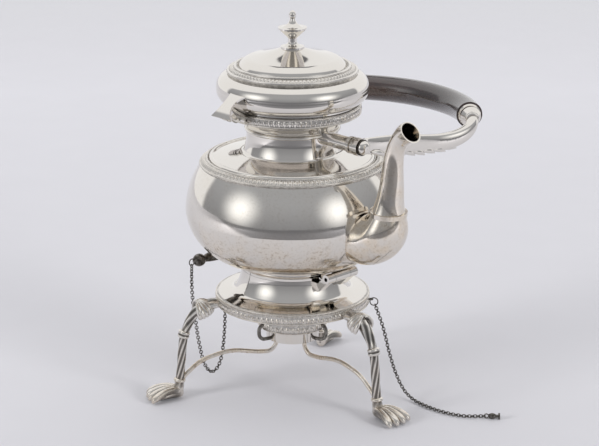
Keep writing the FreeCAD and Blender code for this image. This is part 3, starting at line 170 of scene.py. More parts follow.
# The double collar below the knee, and the single one at the ankle.
COLLAR_STATIONS = (
    (100.4, 64.6, 73, 4.2, 4.8), (100.8, 63.4, 73, 5.4, 6.0), (101.2, 62.0, 74, 5.7, 6.3),
    (101.5, 60.8, 75, 4.6, 5.2), (101.8, 59.6, 76, 5.7, 6.3), (102.1, 58.2, 77, 5.3, 5.9),
    (102.3, 57.2, 78, 4.0, 4.6),
)
ANKLE_STATIONS = (
    (105.6, 19.4, 84, 4.2, 4.5), (105.8, 18.2, 84, 5.5, 5.9), (106.0, 16.6, 84, 5.8, 6.2),
    (106.3, 15.0, 84, 4.4, 4.8),
)
# One rib of the scallop shell, from its crown on the knee towards the rim and down, and its fan.
SHELL_RIB_STATIONS = (
    (88.5, 91.0, 0, 0.9, 0.4), (86.0, 91.6, 0, 1.5, 0.9), (82.2, 91.2, -10, 2.0, 1.5),
    (78.8, 89.4, -32, 2.3, 2.0), (76.4, 87.0, -50, 2.4, 2.3), (75.0, 84.2, -62, 2.2, 2.4),
    (74.4, 82.2, -62, 1.6, 2.1), (74.1, 81.2, -55, 0.6, 1.0),
)
SHELL_SPREAD = math.radians(220)
SHELL_CENTRE = Vector((0.089, 0, 0.091))
SHELL_AXIS = Vector((0.35, 0, 0.94))
# One toe from the ankle to its tip, the fan of the toes, and the pad under them.
TOE_STATIONS = (
    (106.0, 7.6, 0, 2.2, 1.6), (110.0, 8.8, -8, 3.2, 2.3), (115.0, 9.6, 0, 3.6, 2.7),
    (120.5, 9.2, 10, 3.7, 3.0), (125.5, 8.0, 22, 3.9, 3.5), (129.6, 6.4, 36, 3.9, 3.8),
    (132.8, 4.7, 52, 3.4, 3.5), (134.8, 2.8, 64, 2.4, 2.5), (135.8, 1.2, 70, 0.9, 0.9),
)
TOE_SPREAD = math.radians(36)
TOE_CENTRE = Vector((0.096, 0, 0))
PAD_STATIONS = (
    (102.5, 6.0, 0, 3.6, 3.0), (105.0, 6.4, 0, 6.0, 5.0), (110.0, 5.8, 4, 5.4, 6.2),
    (116.0, 5.2, 4, 4.8, 7.8), (122.0, 4.6, 4, 4.2, 9.0), (127.0, 4.0, 4, 3.6, 9.2),
    (131.0, 3.2, 4, 2.6, 8.0),
)

# A leaf under an arm of the swing handle, and where each stands: distance from the pivot,
# offset outwards, height of the arm's lower edge, and its tilt in degrees.
LEAF_STATIONS = (
    (0.0, 0.6, 0, 0.8, 1.4), (4.0, 0.8, 0, 2.4, 3.2), (9.0, 0.4, 6, 3.0, 4.1),
    (14.0, -0.8, 16, 2.4, 3.4), (17.5, -2.4, 30, 1.2, 1.7), (19.0, -3.4, 40, 0.4, 0.5),
)
LEAF_PLACES = (
    (14, 0.2, 236.6, 9), (27, 0.2, 234.4, 9), (40, 0.2, 232.2, 9), (53, 0.3, 229.4, 10),
    (66, 0.4, 226.9, 9), (79, 0.7, 225.2, 6), (92, 1.6, 223.6, 4), (105, 2.7, 222.4, -2),
    (117, 4.8, 224.4, -14),
)
# The arm's plane, its end at the ferrule and the way into it, and the collars there: how far along
# that way and their radius. All in millimetres, as is the wire of the collars.
ARM_PLANE = 82.0
ARM_TAIL = Vector((84.2, 145.9, 243.2))
FERRULE_WAY = Vector((0.772, -0.636, 0))
ARM_COLLARS = ((0.4, 5.4), (3.0, 5.0))
ARM_COLLAR_WIRE = 1.3
JOINT_WIRE = 0.8 * MM

# Rings of chased ornament: body, radius and height of the strip's middle, how far it leans back,
# half of the strip's width, half of the width of its plain edges, and the tongues and beads round
# the ring.
ORNAMENT_RINGS = {
    "stand_ornament": ("stand", 69.3, 89.35, 0, 4.9, 0.6, 96, 196),
    "neck_ornament": ("kettle", 60.7, 265.2, 0, 4.0, 0.6, 84, 0),
    "shoulder_ornament": ("kettle", 79.55, 218.1, 54.8, 4.2, 0.6, 124, 0),
    "lid_ornament": ("lid", 53.8, 301.75, 59.5, 4.8, 1.2, 96, 0),
    "lamp_ornament": ("lamp", 31.0, 67.0, 0, 5.5, 0.6, 40, 88),
}
# Shares of the ornament: widths and the beads' radius of their step round the ring, heights and
# places of the strip between its edges, and a dart's height and relief of a tongue's.
EDGE_CLEAR = 1.6
TONGUE_WIDE = 0.34
TONGUE_TALL = 0.9
TONGUE_TALL_UNDER_BEADS = 0.58
TONGUE_DROP_UNDER_BEADS = 0.32
TONGUE_TAPER = 0.6
DART_WIDE = 0.13
DART_TALL = 0.75
DART_PROUD = 0.6
DART_TAPER = 1.6
BEAD_RADIUS = 0.4
BEAD_RISE = 0.66


def linear(code):
    """An sRGB hex value as linear red, green and blue."""
    parts = [int(code[place:place + 2], 16) / 255 for place in (0, 2, 4)]
    return tuple(part / 12.92 if part <= 0.04045 else ((part + 0.055) / 1.055) ** 2.4
                 for part in parts)


class KettleSizes(bpy.types.PropertyGroup):
    link_length: bpy.props.FloatProperty(
        name="Link length", description="Outer length of one chain link",
        default=4.4 * MM, unit="LENGTH")
    link_width: bpy.props.FloatProperty(
        name="Link width", description="Outer width of one chain link",
        default=3.6 * MM, unit="LENGTH")
    link_wire: bpy.props.FloatProperty(
        name="Link wire", description="Thickness of the wire of the links",
        default=0.85 * MM, unit="LENGTH")
    link_pitch: bpy.props.FloatProperty(
        name="Link pitch", description="Distance from link to link along a chain",
        default=2.51 * MM, unit="LENGTH")
    flute_twist: bpy.props.FloatProperty(
        name="Flute twist", description="Turn of the flutes from ring to ring of a leg",
        default=math.radians(13), subtype="ANGLE")
    shell_ribs: bpy.props.IntProperty(
        name="Shell ribs", description="Ribs of the shell at the top of a leg", default=13)
    toes: bpy.props.IntProperty(
        name="Toes", description="Toes of a paw", default=4)
    relief: bpy.props.FloatProperty(
        name="Relief", description="How far the chased tongues stand proud of their band",
        default=0.9 * MM, unit="LENGTH")


class KettleColours(bpy.types.PropertyGroup):
    silver: bpy.props.FloatVectorProperty(
        name="Silver", description="Clean polished silver",
        default=linear("E6E2DC"), subtype="COLOR", min=0, max=1)
    film: bpy.props.FloatVectorProperty(
        name="Film", description="Thin straw-coloured film on the silver",
        default=linear("EADCC8"), subtype="COLOR", min=0, max=1)
    tarnish: bpy.props.FloatVectorProperty(
        name="Tarnish", description="Yellow-brown tarnish on the silver",
        default=linear("8E7350"), subtype="COLOR", min=0, max=1)
    # Also the colour that the painted shade in the cast legs' hollows darkens towards.
    oxide_and_shade: bpy.props.FloatVectorProperty(
        name="Oxide", description="Black sulphide left in the hollows",
        default=linear("3A342E"), subtype="COLOR", min=0, max=1)
    wood: bpy.props.FloatVectorProperty(
        name="Wood", description="Dark polished wood of the grip",
        default=linear("3B2723"), subtype="COLOR", min=0, max=1)
    cotton: bpy.props.FloatVectorProperty(
        name="Cotton", description="Plaited cotton of the wick",
        default=linear("DCD3BE"), subtype="COLOR", min=0, max=1)
    floor: bpy.props.FloatVectorProperty(
        name="Floor", description="Pale sheet that the kettle stands on",
        default=linear("DCDBE0"), subtype="COLOR", min=0, max=1)


def add(tree, kind, settings=(), **inputs):
    """Adds a node to a tree. Settings are its own options; inputs are set, or linked where they
    are sockets. A name's underscores stand for spaces, and in0, in1 and so on go by number."""
    node = tree.nodes.new(kind)
    for option, value in dict(settings).items():
        setattr(node, option, value)
    for name, value in inputs.items():
        socket = node.inputs[int(name[2:]) if name[2:].isdigit() else name.replace("_", " ")]
        if isinstance(value, bpy.types.NodeSocket):
            tree.links.new(value, socket)
        elif socket.type == "RGBA" and len(value) == 3:
            socket.default_value = (*value, 1)
        else:
            socket.default_value = value
    return node


def new_material(name):
    """A material with an empty node tree."""
    material = bpy.data.materials.new(name)
    material.use_nodes = True
    material.node_tree.nodes.clear()
    return material


def begin(primitive, **settings):
    """Clears the selection, adds a primitive and leaves it open in edit mode."""
    if bpy.context.mode != "OBJECT":
        bpy.ops.object.mode_set(mode="OBJECT")
    bpy.ops.object.select_all(action="DESELECT")
    primitive(**settings)
    bpy.ops.object.mode_set(mode="EDIT")
    return bpy.context.object


def turn(angle, axis, centre=(0, 0, 0)):
    """Turns what is selected by the right-hand rule."""
    bpy.ops.transform.rotate(value=-angle, orient_axis=axis, center_override=centre)


def choose(test):
    """Selects the corners of the open mesh that pass a test of their index and place."""
    mesh = bmesh.from_edit_mesh(bpy.context.object.data)
    for corner in mesh.verts:
        corner.select_set(test(corner.index, corner.co))
    mesh.select_flush_mode()
    bmesh.update_edit_mesh(bpy.context.object.data)


def label(piece, name):
    """Gives a piece and its mesh the same name."""
    piece.name = name
    piece.data.name = name


def end(piece, name, smooth=40):
    """Closes edit mode, shades the piece smooth up to an angle in degrees and names it."""
    bpy.ops.object.mode_set(mode="OBJECT")
    bpy.ops.object.shade_smooth_by_angle(angle=math.radians(smooth))
    label(piece, name)
    return piece


def hoop(name, radius, wire, segments, place, turned=(0, 0, 0)):
    """A ring of round wire, with its place in its mesh."""
    ring = begin(bpy.ops.mesh.primitive_torus_add, major_segments=segments, minor_segments=8,
                 major_radius=radius, minor_radius=wire, location=place, rotation=turned)
    end(ring, name, smooth=60)
    bpy.ops.object.transform_apply()
    return ring


def ring_form(stations, sides, twist=0.0):
    """A closed form bridged through rings that stand along a path in the XZ plane.
    A station is the reach, the height, the lean below level in degrees, the half thick and half
    wide, and for fluted forms the depth of the flutes as a share."""
    piece = begin(bpy.ops.mesh.primitive_circle_add, vertices=sides, radius=1)
    turned = 0.0
    for number, (reach, height, lean, thick, wide, *flute) in enumerate(stations):
        first = number * sides
        if number:
            bpy.ops.mesh.select_all(action="DESELECT")
            bpy.ops.mesh.primitive_circle_add(vertices=sides, radius=1)
        if flute:
            turn(turned, "Z")
            turned += twist
            choose(lambda index, place: index >= first and index % 2 == 0)
            bpy.ops.transform.resize(value=(1 - flute[0], 1 - flute[0], 1),
                                     center_override=(0, 0, 0))
            choose(lambda index, place: index >= first)
        bpy.ops.transform.resize(value=(thick * MM, wide * MM, 1), center_override=(0, 0, 0))
        turn(math.radians(90 + lean), "Y")
        bpy.ops.transform.translate(value=(reach * MM, 0, height * MM))
    bpy.ops.mesh.select_all(action="SELECT")
    bpy.ops.mesh.bridge_edge_loops()
    bpy.ops.mesh.select_all(action="SELECT")
    bpy.ops.mesh.fill_holes(sides=0)
    bpy.ops.mesh.normals_make_consistent(inside=False)
    return piece


def fan(count, spread, centre, axis):
    """Spreads copies of the open form about an axis, evenly to both sides of it."""
    bpy.ops.mesh.select_all(action="SELECT")
    back = Matrix.Rotation(spread / 2, 4, axis)
    around = Matrix.Translation(centre) @ back @ Matrix.Translation(-centre)
    mesh = bmesh.from_edit_mesh(bpy.context.object.data)
    bmesh.ops.transform(mesh, matrix=around, verts=mesh.verts)
    bmesh.update_edit_mesh(bpy.context.object.data)
    bpy.ops.mesh.spin(steps=count - 1, dupli=True, angle=spread, center=centre, axis=axis)


def select(pieces):
    """Selects some pieces alone, with the first of them active."""
    bpy.ops.object.select_all(action="DESELECT")
    for piece in pieces:
        piece.select_set(True)
    bpy.context.view_layer.objects.active = pieces[0]


def joined(pieces):
    """Joins pieces into the first of them."""
    select(pieces)
    bpy.ops.object.join()
    return pieces[0]


def mark_hollow_shade(piece):
    """Marks the hollows of a piece in an attribute, for the painted shade that darkens them."""
    select([piece])
    piece.data.color_attributes.new("hollow_shade", "FLOAT_COLOR", "POINT")
    bpy.ops.object.mode_set(mode="VERTEX_PAINT")
    bpy.ops.paint.vertex_color_dirt(blur_strength=0.6, blur_iterations=1,
                                    clean_angle=math.radians(140), dirt_angle=0)
    bpy.ops.object.mode_set(mode="OBJECT")


def copy_of(piece, name, matrix):
    """A copy with a mesh of its own, moved in its mesh."""
    other = piece.copy()
    other.data = piece.data.copy()
    other.data.transform(matrix)
    label(other, name)
    bpy.context.scene.collection.objects.link(other)
    return other


def dress(piece, material, body, slot, *nodes):
    """Gives a new piece its finish, its body and the nodes that it stands for."""
    piece.data.materials.clear()
    piece.data.materials.append(material)
    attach(piece, body)
    if nodes:
        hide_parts(*nodes)


def silver_material(name, tarnish_low, tarnish_high, film, spots, roughness, hollow_shade=False):
    """Silver, raised, drawn or cast and then polished by hand: a bright mirror with faint waves,
    under a straw film and brown specks that are full at one height and faint at another, and with
    painted shade, as dark as black sulphide, in the hollows where they are marked."""
    colours = bpy.context.scene.kettle_colours
    material = new_material(name)
    tree = material.node_tree
    place = add(tree, "ShaderNodeTexCoord").outputs["Object"]
    height = add(tree, "ShaderNodeSeparateXYZ", Vector=place).outputs["Z"]
    cloud = add(tree, "ShaderNodeTexNoise", Vector=place, Scale=1 / CLOUD_SIZE, Detail=4,
                Roughness=0.6).outputs["Fac"]
    speck = add(tree, "ShaderNodeTexNoise", Vector=place, Scale=1 / SPECK_SIZE, Detail=3,
                Roughness=0.7).outputs["Fac"]
    low = add(tree, "ShaderNodeMapRange", SMOOTH, Value=height, From_Min=tarnish_high,
              From_Max=tarnish_low, To_Min=0.1 * film, To_Max=film).outputs["Result"]
    patch = add(tree, "ShaderNodeMapRange", SMOOTH, Value=cloud, From_Min=0.35, From_Max=0.65,
                To_Min=0.3, To_Max=1.0).outputs["Result"]
    warm = add(tree, "ShaderNodeMath", TIMES, in0=low, in1=patch).outputs[0]
    dots = add(tree, "ShaderNodeMapRange", SMOOTH, Value=speck, From_Min=0.5, From_Max=0.64,
               To_Min=0.0, To_Max=spots).outputs["Result"]
    dirt = add(tree, "ShaderNodeMath", TIMES, in0=warm, in1=dots).outputs[0]
    straw = add(tree, "ShaderNodeMix", COLOUR, in0=warm, in6=tuple(colours.silver),
                in7=tuple(colours.film)).outputs[2]
    tint = add(tree, "ShaderNodeMix", COLOUR, in0=dirt, in6=straw,
               in7=tuple(colours.tarnish)).outputs[2]
    # Painted shade: the marked hollows are darkened towards the dark oxide colour.
    if hollow_shade:
        mark = add(tree, "ShaderNodeAttribute", {"attribute_name": "hollow_shade"}).outputs["Fac"]
        depth = add(tree, "ShaderNodeMapRange", Value=mark, From_Min=0.046, From_Max=0.008,
                    To_Min=0, To_Max=0.85).outputs["Result"]
        tint = add(tree, "ShaderNodeMix", COLOUR, in0=depth, in6=tint,
                   in7=tuple(colours.oxide_and_shade)).outputs[2]
    sheen = add(tree, "ShaderNodeMapRange", Value=cloud, From_Min=0.3, From_Max=0.7,
                To_Min=roughness * 0.7, To_Max=roughness * 1.4).outputs["Result"]
    gloss = add(tree, "ShaderNodeMath", {"operation": "MULTIPLY_ADD"}, in0=dirt, in1=0.16,
                in2=sheen).outputs[0]
    wave = add(tree, "ShaderNodeTexNoise", Vector=place, Scale=1 / WAVE_SIZE, Detail=2,
               Roughness=0.5).outputs["Fac"]
    dent = add(tree, "ShaderNodeBump", Strength=0.35, Distance=0.25 * MM,
               Height=wave).outputs["Normal"]
    skin = add(tree, "ShaderNodeBsdfPrincipled", Base_Color=tint, Roughness=gloss, Normal=dent,
               Metallic=1.0)
    add(tree, "ShaderNodeOutputMaterial", Surface=skin.outputs[0])
    return material


def oxidised_material(name, rubbed_least, rubbed_most):
    """Blackened silver: dark sulphide on the wire of chains and hooks and on the ground of chased
    bands, rubbed bright in places."""
    colours = bpy.context.scene.kettle_colours
    material = new_material(name)
    tree = material.node_tree
    place = add(tree, "ShaderNodeTexCoord").outputs["Object"]
    rub = add(tree, "ShaderNodeTexNoise", Vector=place, Scale=1 / RUB_SIZE, Detail=3,
              Roughness=0.6).outputs["Fac"]
    bright = add(tree, "ShaderNodeMapRange", SMOOTH, Value=rub, From_Min=0.35, From_Max=0.7,
                 To_Min=rubbed_least, To_Max=rubbed_most).outputs["Result"]
    tint = add(tree, "ShaderNodeMix", COLOUR, in0=bright, in6=tuple(colours.oxide_and_shade),
               in7=tuple(colours.silver)).outputs[2]
    gloss = add(tree, "ShaderNodeMapRange", Value=rub, From_Min=0.3, From_Max=0.7, To_Min=0.42,
                To_Max=0.24).outputs["Result"]
    skin = add(tree, "ShaderNodeBsdfPrincipled", Base_Color=tint, Roughness=gloss, Metallic=1.0)
    add(tree, "ShaderNodeOutputMaterial", Surface=skin.outputs[0])
    return material


def wood_material():
    """Dark straight-grained hardwood, turned and French polished: brown figure under a clear
    gloss."""
    colours = bpy.context.scene.kettle_colours
    material = new_material("French polished hardwood")
    tree = material.node_tree
    place = add(tree, "ShaderNodeTexCoord").outputs["Object"]
    along = add(tree, "ShaderNodeMapping", Vector=place, Scale=(0.06, 1, 1)).outputs[0]
    grain = add(tree, "ShaderNodeTexNoise", Vector=along, Scale=1 / GRAIN_SIZE, Detail=5,
                Roughness=0.65).outputs["Fac"]
    pore = add(tree, "ShaderNodeTexNoise", Vector=along, Scale=1 / PORE_SIZE, Detail=2,
               Roughness=0.5).outputs["Fac"]
    figure = add(tree, "ShaderNodeMapRange", Value=grain, From_Min=0.3,
                 From_Max=0.72).outputs["Result"]
    dark = tuple(0.42 * part for part in colours.wood)
    tint = add(tree, "ShaderNodeMix", COLOUR, in0=figure, in6=dark,
               in7=tuple(colours.wood)).outputs[2]
    rough = add(tree, "ShaderNodeMapRange", Value=pore, From_Min=0.3, From_Max=0.7, To_Min=0.24,
                To_Max=0.36).outputs["Result"]
    ridge = add(tree, "ShaderNodeBump", Strength=0.2, Distance=0.1 * MM,
                Height=pore).outputs["Normal"]
    skin = add(tree, "ShaderNodeBsdfPrincipled", Base_Color=tint, Roughness=rough, Normal=ridge,
               IOR=1.5, Coat_Weight=1.0, Coat_Roughness=0.06, Coat_IOR=1.7)
    add(tree, "ShaderNodeOutputMaterial", Surface=skin.outputs[0])
    return material


def cotton_material():
    """Plaited cotton wick: off-white strands with soft shade between them, charred at the top."""
    colours = bpy.context.scene.kettle_colours
    material = new_material("Plaited cotton")
    tree = material.node_tree
    place = add(tree, "ShaderNodeTexCoord").outputs["Object"]
    strand = add(tree, "ShaderNodeTexWave", {"bands_direction": "DIAGONAL"}, Vector=place,
                 Scale=1 / STRAND_SIZE, Distortion=2.0, Detail=2).outputs["Fac"]
    height = add(tree, "ShaderNodeSeparateXYZ", Vector=place).outputs["Z"]
    char = add(tree, "ShaderNodeMapRange", Value=height, From_Min=CHAR_HEIGHTS[0],
               From_Max=CHAR_HEIGHTS[1]).outputs["Result"]
    shade = tuple(0.6 * part for part in colours.cotton)
    pale = add(tree, "ShaderNodeMix", COLOUR, in0=strand, in6=shade,
               in7=tuple(colours.cotton)).outputs[2]
    tint = add(tree, "ShaderNodeMix", COLOUR, in0=char, in6=pale, in7=linear(CHAR)).outputs[2]
    ridge = add(tree, "ShaderNodeBump", Strength=0.6, Distance=0.3 * MM,
                Height=strand).outputs["Normal"]
    skin = add(tree, "ShaderNodeBsdfPrincipled", Base_Color=tint, Roughness=0.9, Normal=ridge)
    add(tree, "ShaderNodeOutputMaterial", Surface=skin.outputs[0])
    return material


def floor_material():
    """Matt white paper sheet, with painted light that makes it paler towards the back, and lost in
    the backdrop further off; past its front edge, mirrors see the dim room instead."""
    colours = bpy.context.scene.kettle_colours
    material = new_material("Matt paper sheet")
    tree = material.node_tree
    place = add(tree, "ShaderNodeTexCoord").outputs["Object"]
    ahead = add(tree, "ShaderNodeVectorMath", DOT, in0=place, in1=FACING).outputs["Value"]
    sheet = add(tree, "ShaderNodeMapRange", SMOOTH, Value=ahead, From_Min=SHEET_FRONT[0],
                From_Max=SHEET_FRONT[1]).outputs["Result"]
    eye = add(tree, "ShaderNodeLightPath").outputs["Is Camera Ray"]
    shown = add(tree, "ShaderNodeMath", {"operation": "MAXIMUM"}, in0=sheet, in1=eye).outputs[0]
    fibre = add(tree, "ShaderNodeTexNoise", Vector=place, Scale=1 / FIBRE_SIZE,
                Detail=2).outputs["Fac"]
    shade = tuple(0.97 * part for part in colours.floor)
    paper = add(tree, "ShaderNodeMix", COLOUR, in0=fibre, in6=shade,
                in7=tuple(colours.floor)).outputs[2]
    # Painted light: the paper is scaled darker in front of the kettle and paler towards the back.
    back = add(tree, "ShaderNodeMapRange", Value=ahead, From_Min=SHEET_BACK[0],
               From_Max=SHEET_BACK[1], To_Min=SHEET_PAINTED_LIGHT[0],
               To_Max=SHEET_PAINTED_LIGHT[1]).outputs["Result"]
    pale = add(tree, "ShaderNodeVectorMath", {"operation": "SCALE"}, Vector=paper,
               Scale=back).outputs["Vector"]
    tint = add(tree, "ShaderNodeMix", COLOUR, in0=shown, in6=linear(ROOM_FLOOR),
               in7=pale).outputs[2]
    skin = add(tree, "ShaderNodeBsdfPrincipled", Base_Color=tint, Roughness=0.75)
    far = add(tree, "ShaderNodeVectorMath", {"operation": "LENGTH"}, in0=place).outputs["Value"]
    lost = add(tree, "ShaderNodeMapRange", SMOOTH, Value=far, From_Min=SHEET_FADE[0],
               From_Max=SHEET_FADE[1]).outputs["Result"]
    fade = add(tree, "ShaderNodeMath", TIMES, in0=lost, in1=eye).outputs[0]
    clear = add(tree, "ShaderNodeBsdfTransparent")
    faded = add(tree, "ShaderNodeMixShader", in0=fade, in1=skin.outputs[0], in2=clear.outputs[0])
    add(tree, "ShaderNodeOutputMaterial", Surface=faded.outputs[0])
    return material


def lamp_ways():
    """Directions of the two soft lamps, by name."""
    ways = {}
    for name, aside in LAMP_TURNS.items():
        level = Matrix.Rotation(math.radians(aside), 3, "Z") @ FACING
        ways[name] = level * math.cos(LAMP_RISE) + UP * math.sin(LAMP_RISE)
    return ways


def studio_world():
    """A white tent that is open to a dim room on the camera's side, with two soft lamps in the
    opening and a dark board above the back. The camera itself sees a plain backdrop."""
    world = bpy.data.worlds.new("White tent")
    bpy.context.scene.world = world
    world.use_nodes = True
    tree = world.node_tree
    tree.nodes.clear()
    way = add(tree, "ShaderNodeTexCoord").outputs["Generated"]
    hood = UP * math.cos(HOOD_TILT) - FACING * math.sin(HOOD_TILT)
    rise, ahead, aside, tilt = (
        add(tree, "ShaderNodeVectorMath", DOT, in0=way, in1=axis).outputs["Value"]
        for axis in (UP, FACING, FACING.cross(UP), hood))
    across = add(tree, "ShaderNodeMath", {"operation": "ABSOLUTE"}, in0=aside).outputs[0]

    # Soft edges: what is measured, where the edge begins and where it is full.
    edges = {
        "room_back": (ahead, -0.44, -0.34), "room_hood": (tilt, 0.62, 0.54),
        "room_height": (rise, -0.2, 0.6),
        "board_foot": (rise, 0.61, 0.64), "board_head": (rise, 0.8, 0.77),
        "board_sides": (across, 0.16, 0.13), "board_front": (ahead, 0.0, -0.05),
    }
    masks = {}
    for name, (value, begins, full) in edges.items():
        masks[name] = add(tree, "ShaderNodeMapRange", SMOOTH, Value=value, From_Min=begins,
                          From_Max=full).outputs["Result"]
    room = add(tree, "ShaderNodeMath", TIMES, in0=masks["room_back"],
               in1=masks["room_hood"]).outputs[0]
    board = masks["board_foot"]
    for name in ("board_head", "board_sides", "board_front"):
        board = add(tree, "ShaderNodeMath", TIMES, in0=board, in1=masks[name]).outputs[0]

    depth = add(tree, "ShaderNodeMix", COLOUR, in0=masks["room_height"], in6=ROOM_LOW,
                in7=ROOM_HIGH).outputs[2]
    tent = add(tree, "ShaderNodeMix", COLOUR, in0=room, in6=TENT, in7=depth).outputs[2]
    seen = add(tree, "ShaderNodeMix", COLOUR, in0=board, in6=tent, in7=BOARD).outputs[2]
    for lamp in lamp_ways().values():
        facing = add(tree, "ShaderNodeVectorMath", DOT, in0=way, in1=lamp).outputs["Value"]
        near = add(tree, "ShaderNodeMapRange", Value=facing, From_Min=math.cos(GLOW_REACH),
                   From_Max=1).outputs["Result"]
        spot = add(tree, "ShaderNodeMath", {"operation": "POWER"}, in0=near,
                   in1=GLOW_FALL).outputs[0]
        seen = add(tree, "ShaderNodeMix", {**COLOUR, "blend_type": "ADD"}, in0=spot, in6=seen,
                   in7=GLOW).outputs[2]
    eye = add(tree, "ShaderNodeLightPath").outputs["Is Camera Ray"]
    shown = add(tree, "ShaderNodeMix", COLOUR, in0=eye, in6=seen, in7=BACKDROP).outputs[2]
    glow = add(tree, "ShaderNodeBackground", Color=shown, Strength=1.0)
    add(tree, "ShaderNodeOutputWorld", Surface=glow.outputs[0])


class KETTLE_OT_stage(bpy.types.Operator):
    """Sets the camera, the sheet that the kettle stands on and the studio light"""
    bl_idname = "kettle.stage"
    bl_label = "Stage"

    def execute(self, context):
        scene = context.scene
        scene.view_settings.view_transform = "Standard"
        camera = bpy.data.objects.new("camera", bpy.data.cameras.new("camera"))
        scene.collection.objects.link(camera)
        camera.data.lens = LENS
        camera.data.sensor_width = SENSOR_WIDTH
        camera.data.shift_x = SHIFT_PIXELS / PICTURE_WIDTH
        back = FACING * math.cos(CAMERA_PITCH) + UP * math.sin(CAMERA_PITCH)
        camera.location = AIM + CAMERA_DISTANCE * back
        camera.rotation_euler = (AIM - camera.location).to_track_quat("-Z", "Y").to_euler()
        scene.camera = camera

        floor = begin(bpy.ops.mesh.primitive_plane_add, size=FLOOR_SIZE)
        bpy.ops.mesh.subdivide(number_cuts=3)
        end(floor, "floor")
        floor.data.materials.append(floor_material())
        studio_world()
        for name, way in lamp_ways().items():
            light = bpy.data.lights.new(name, "AREA")
            light.shape = "DISK"
            light.size = LAMP_SIZE
            light.energy = LAMP_ENERGY
            lamp = bpy.data.objects.new(name, light)
            scene.collection.objects.link(lamp)
            lamp.location = AIM + LAMP_DISTANCE * way
            lamp.rotation_euler = (-way).to_track_quat("-Z", "Y").to_euler()
            lamp.visible_glossy = False
        return {"FINISHED"}


def chain_line(route):
    """Points of the smooth line that a chain follows."""
    shape = bpy.data.curves.new("chain_line", "CURVE")
    shape.dimensions = "3D"
    shape.resolution_u = 24
    spline = shape.splines.new("NURBS")
    spline.points.add(len(route) - 1)
    for point, place in zip(spline.points, route):
        point.co = (*(Vector(place) * MM), 1)
    spline.order_u = 3
    spline.use_endpoint_u = True
    holder = bpy.data.objects.new("chain_line", shape)
    bpy.context.scene.collection.objects.link(holder)
    line = bpy.data.meshes.new_from_object(holder)
    points = [corner.co.copy() for corner in line.vertices]
    bpy.data.objects.remove(holder)
    bpy.data.curves.remove(shape)
    bpy.data.meshes.remove(line)
    return points


def chain_link(name):
    """One oval link of round wire in the XY plane, long along X."""
    sizes = bpy.context.scene.kettle_sizes
    wire = sizes.link_wire / 2
    link = begin(bpy.ops.mesh.primitive_torus_add, major_segments=12, minor_segments=6,
                 major_radius=sizes.link_width / 2 - wire, minor_radius=wire)
    stretch = (sizes.link_length - sizes.link_width) / 2
    for side in (1, -1):
        choose(lambda index, place: place.x * side > 0.1 * MM)
        bpy.ops.transform.translate(value=(side * stretch, 0, 0))
    return end(link, name, smooth=60)


def chain_of_links(name, route, across, start, finish, twist, twisting):
    """Oval wire links along a route, each turned a quarter from the last, and as a whole twisted
    over its first links so that the last one hangs square in its ring. Start and finish are the
    rings' own share of the route."""
    points = chain_line(route)
    runs = [(after - before).length for before, after in zip(points, points[1:])]
    length = sum(runs)
    link = chain_link(name)
    span = length - start - finish
    count = round(span / bpy.context.scene.kettle_sizes.link_pitch)
    pieces = []
    run = 0
    passed = 0.0
    for number in range(count + 1):
        distance = start + span * number / count
        while run < len(runs) - 1 and passed + runs[run] < distance:
            passed += runs[run]
            run += 1
        before, after = points[run], points[run + 1]
        heading = (after - before).normalized()
        across = (across - heading * across.dot(heading)).normalized()
        place = before + heading * (distance - passed)
        angle = twist * min(1, number / twisting) + math.pi / 2 * (number % 2)
        wide = Matrix.Rotation(angle, 3, heading) @ across
        axes = Matrix((heading, wide, heading.cross(wide))).transposed().to_4x4()
        pieces.append(copy_of(link, name, Matrix.Translation(place) @ axes))
    bpy.data.objects.remove(link)
    chain = joined(pieces)
    label(chain, name)
    return chain, points, length


class KETTLE_OT_chains(bpy.types.Operator):
    """Hangs the two chains of the hinge pins, link by link"""
    bl_idname = "kettle.chains"
    bl_label = "Chains"

    def execute(self, context):
        dark = oxidised_material("Blackened silver", rubbed_least=0.04, rubbed_most=0.28)
        rear, points, length = chain_of_links(
            "rear_links", REAR_CHAIN_ROUTE, REAR_CHAIN_ACROSS, REAR_RING_SHARE, LAST_RING_SHARE,
            REAR_TWIST, REAR_TWIST_LINKS)
        rear.data.materials.append(dark)
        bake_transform(rear)
        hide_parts("rear_chain")
        front, points, length = chain_of_links(
            "front_links", FRONT_CHAIN_ROUTE, FRONT_CHAIN_ACROSS, FRONT_RING_SHARE,
            LAST_RING_SHARE, FRONT_TWIST, FRONT_TWIST_LINKS)
        dress(front, dark, "stand", "dark_silver", "front_chain")
        return {"FINISHED"}


def band_point(radius, height, lean, up):
    """A place on a strip that leans back, some millimetres up from its middle."""
    slope = math.radians(lean)
    return Vector((radius - up * math.sin(slope), 0, height + up * math.cos(slope))) * MM


def ring_of(count, place, lean, half_step=False):
    """Stands the open form upright on a strip, facing out, and repeats it round the axis."""
    step = 2 * math.pi / count
    bpy.ops.mesh.select_all(action="SELECT")
    turn(math.pi / 2, "Y")
    turn(math.pi / 2, "X")
    turn(-math.radians(lean), "Y")
    bpy.ops.transform.translate(value=place)
    if half_step:
        turn(step / 2, "Z")
    bpy.ops.mesh.spin(steps=count - 1, dupli=True, angle=2 * math.pi - step, center=(0, 0, 0),
                      axis=(0, 0, 1))
    bpy.ops.mesh.select_all(action="SELECT")
    bpy.ops.mesh.normals_make_consistent(inside=False)


def facet(wide, tall, proud, taper):
    """A flat tongue of eight facets that rise to its middle, its foot narrowed or spread."""
    piece = begin(bpy.ops.mesh.primitive_circle_add, vertices=8, radius=1, fill_type="TRIFAN")
    bpy.ops.transform.resize(value=(wide, tall, 1), center_override=(0, 0, 0))
    choose(lambda index, place: place.y < -0.3 * tall)
    bpy.ops.transform.resize(value=(taper, 1, 1), center_override=(0, 0, 0))
    choose(lambda index, place: place.length < 0.05 * wide)
    bpy.ops.transform.translate(value=(0, 0, proud))
    return piece


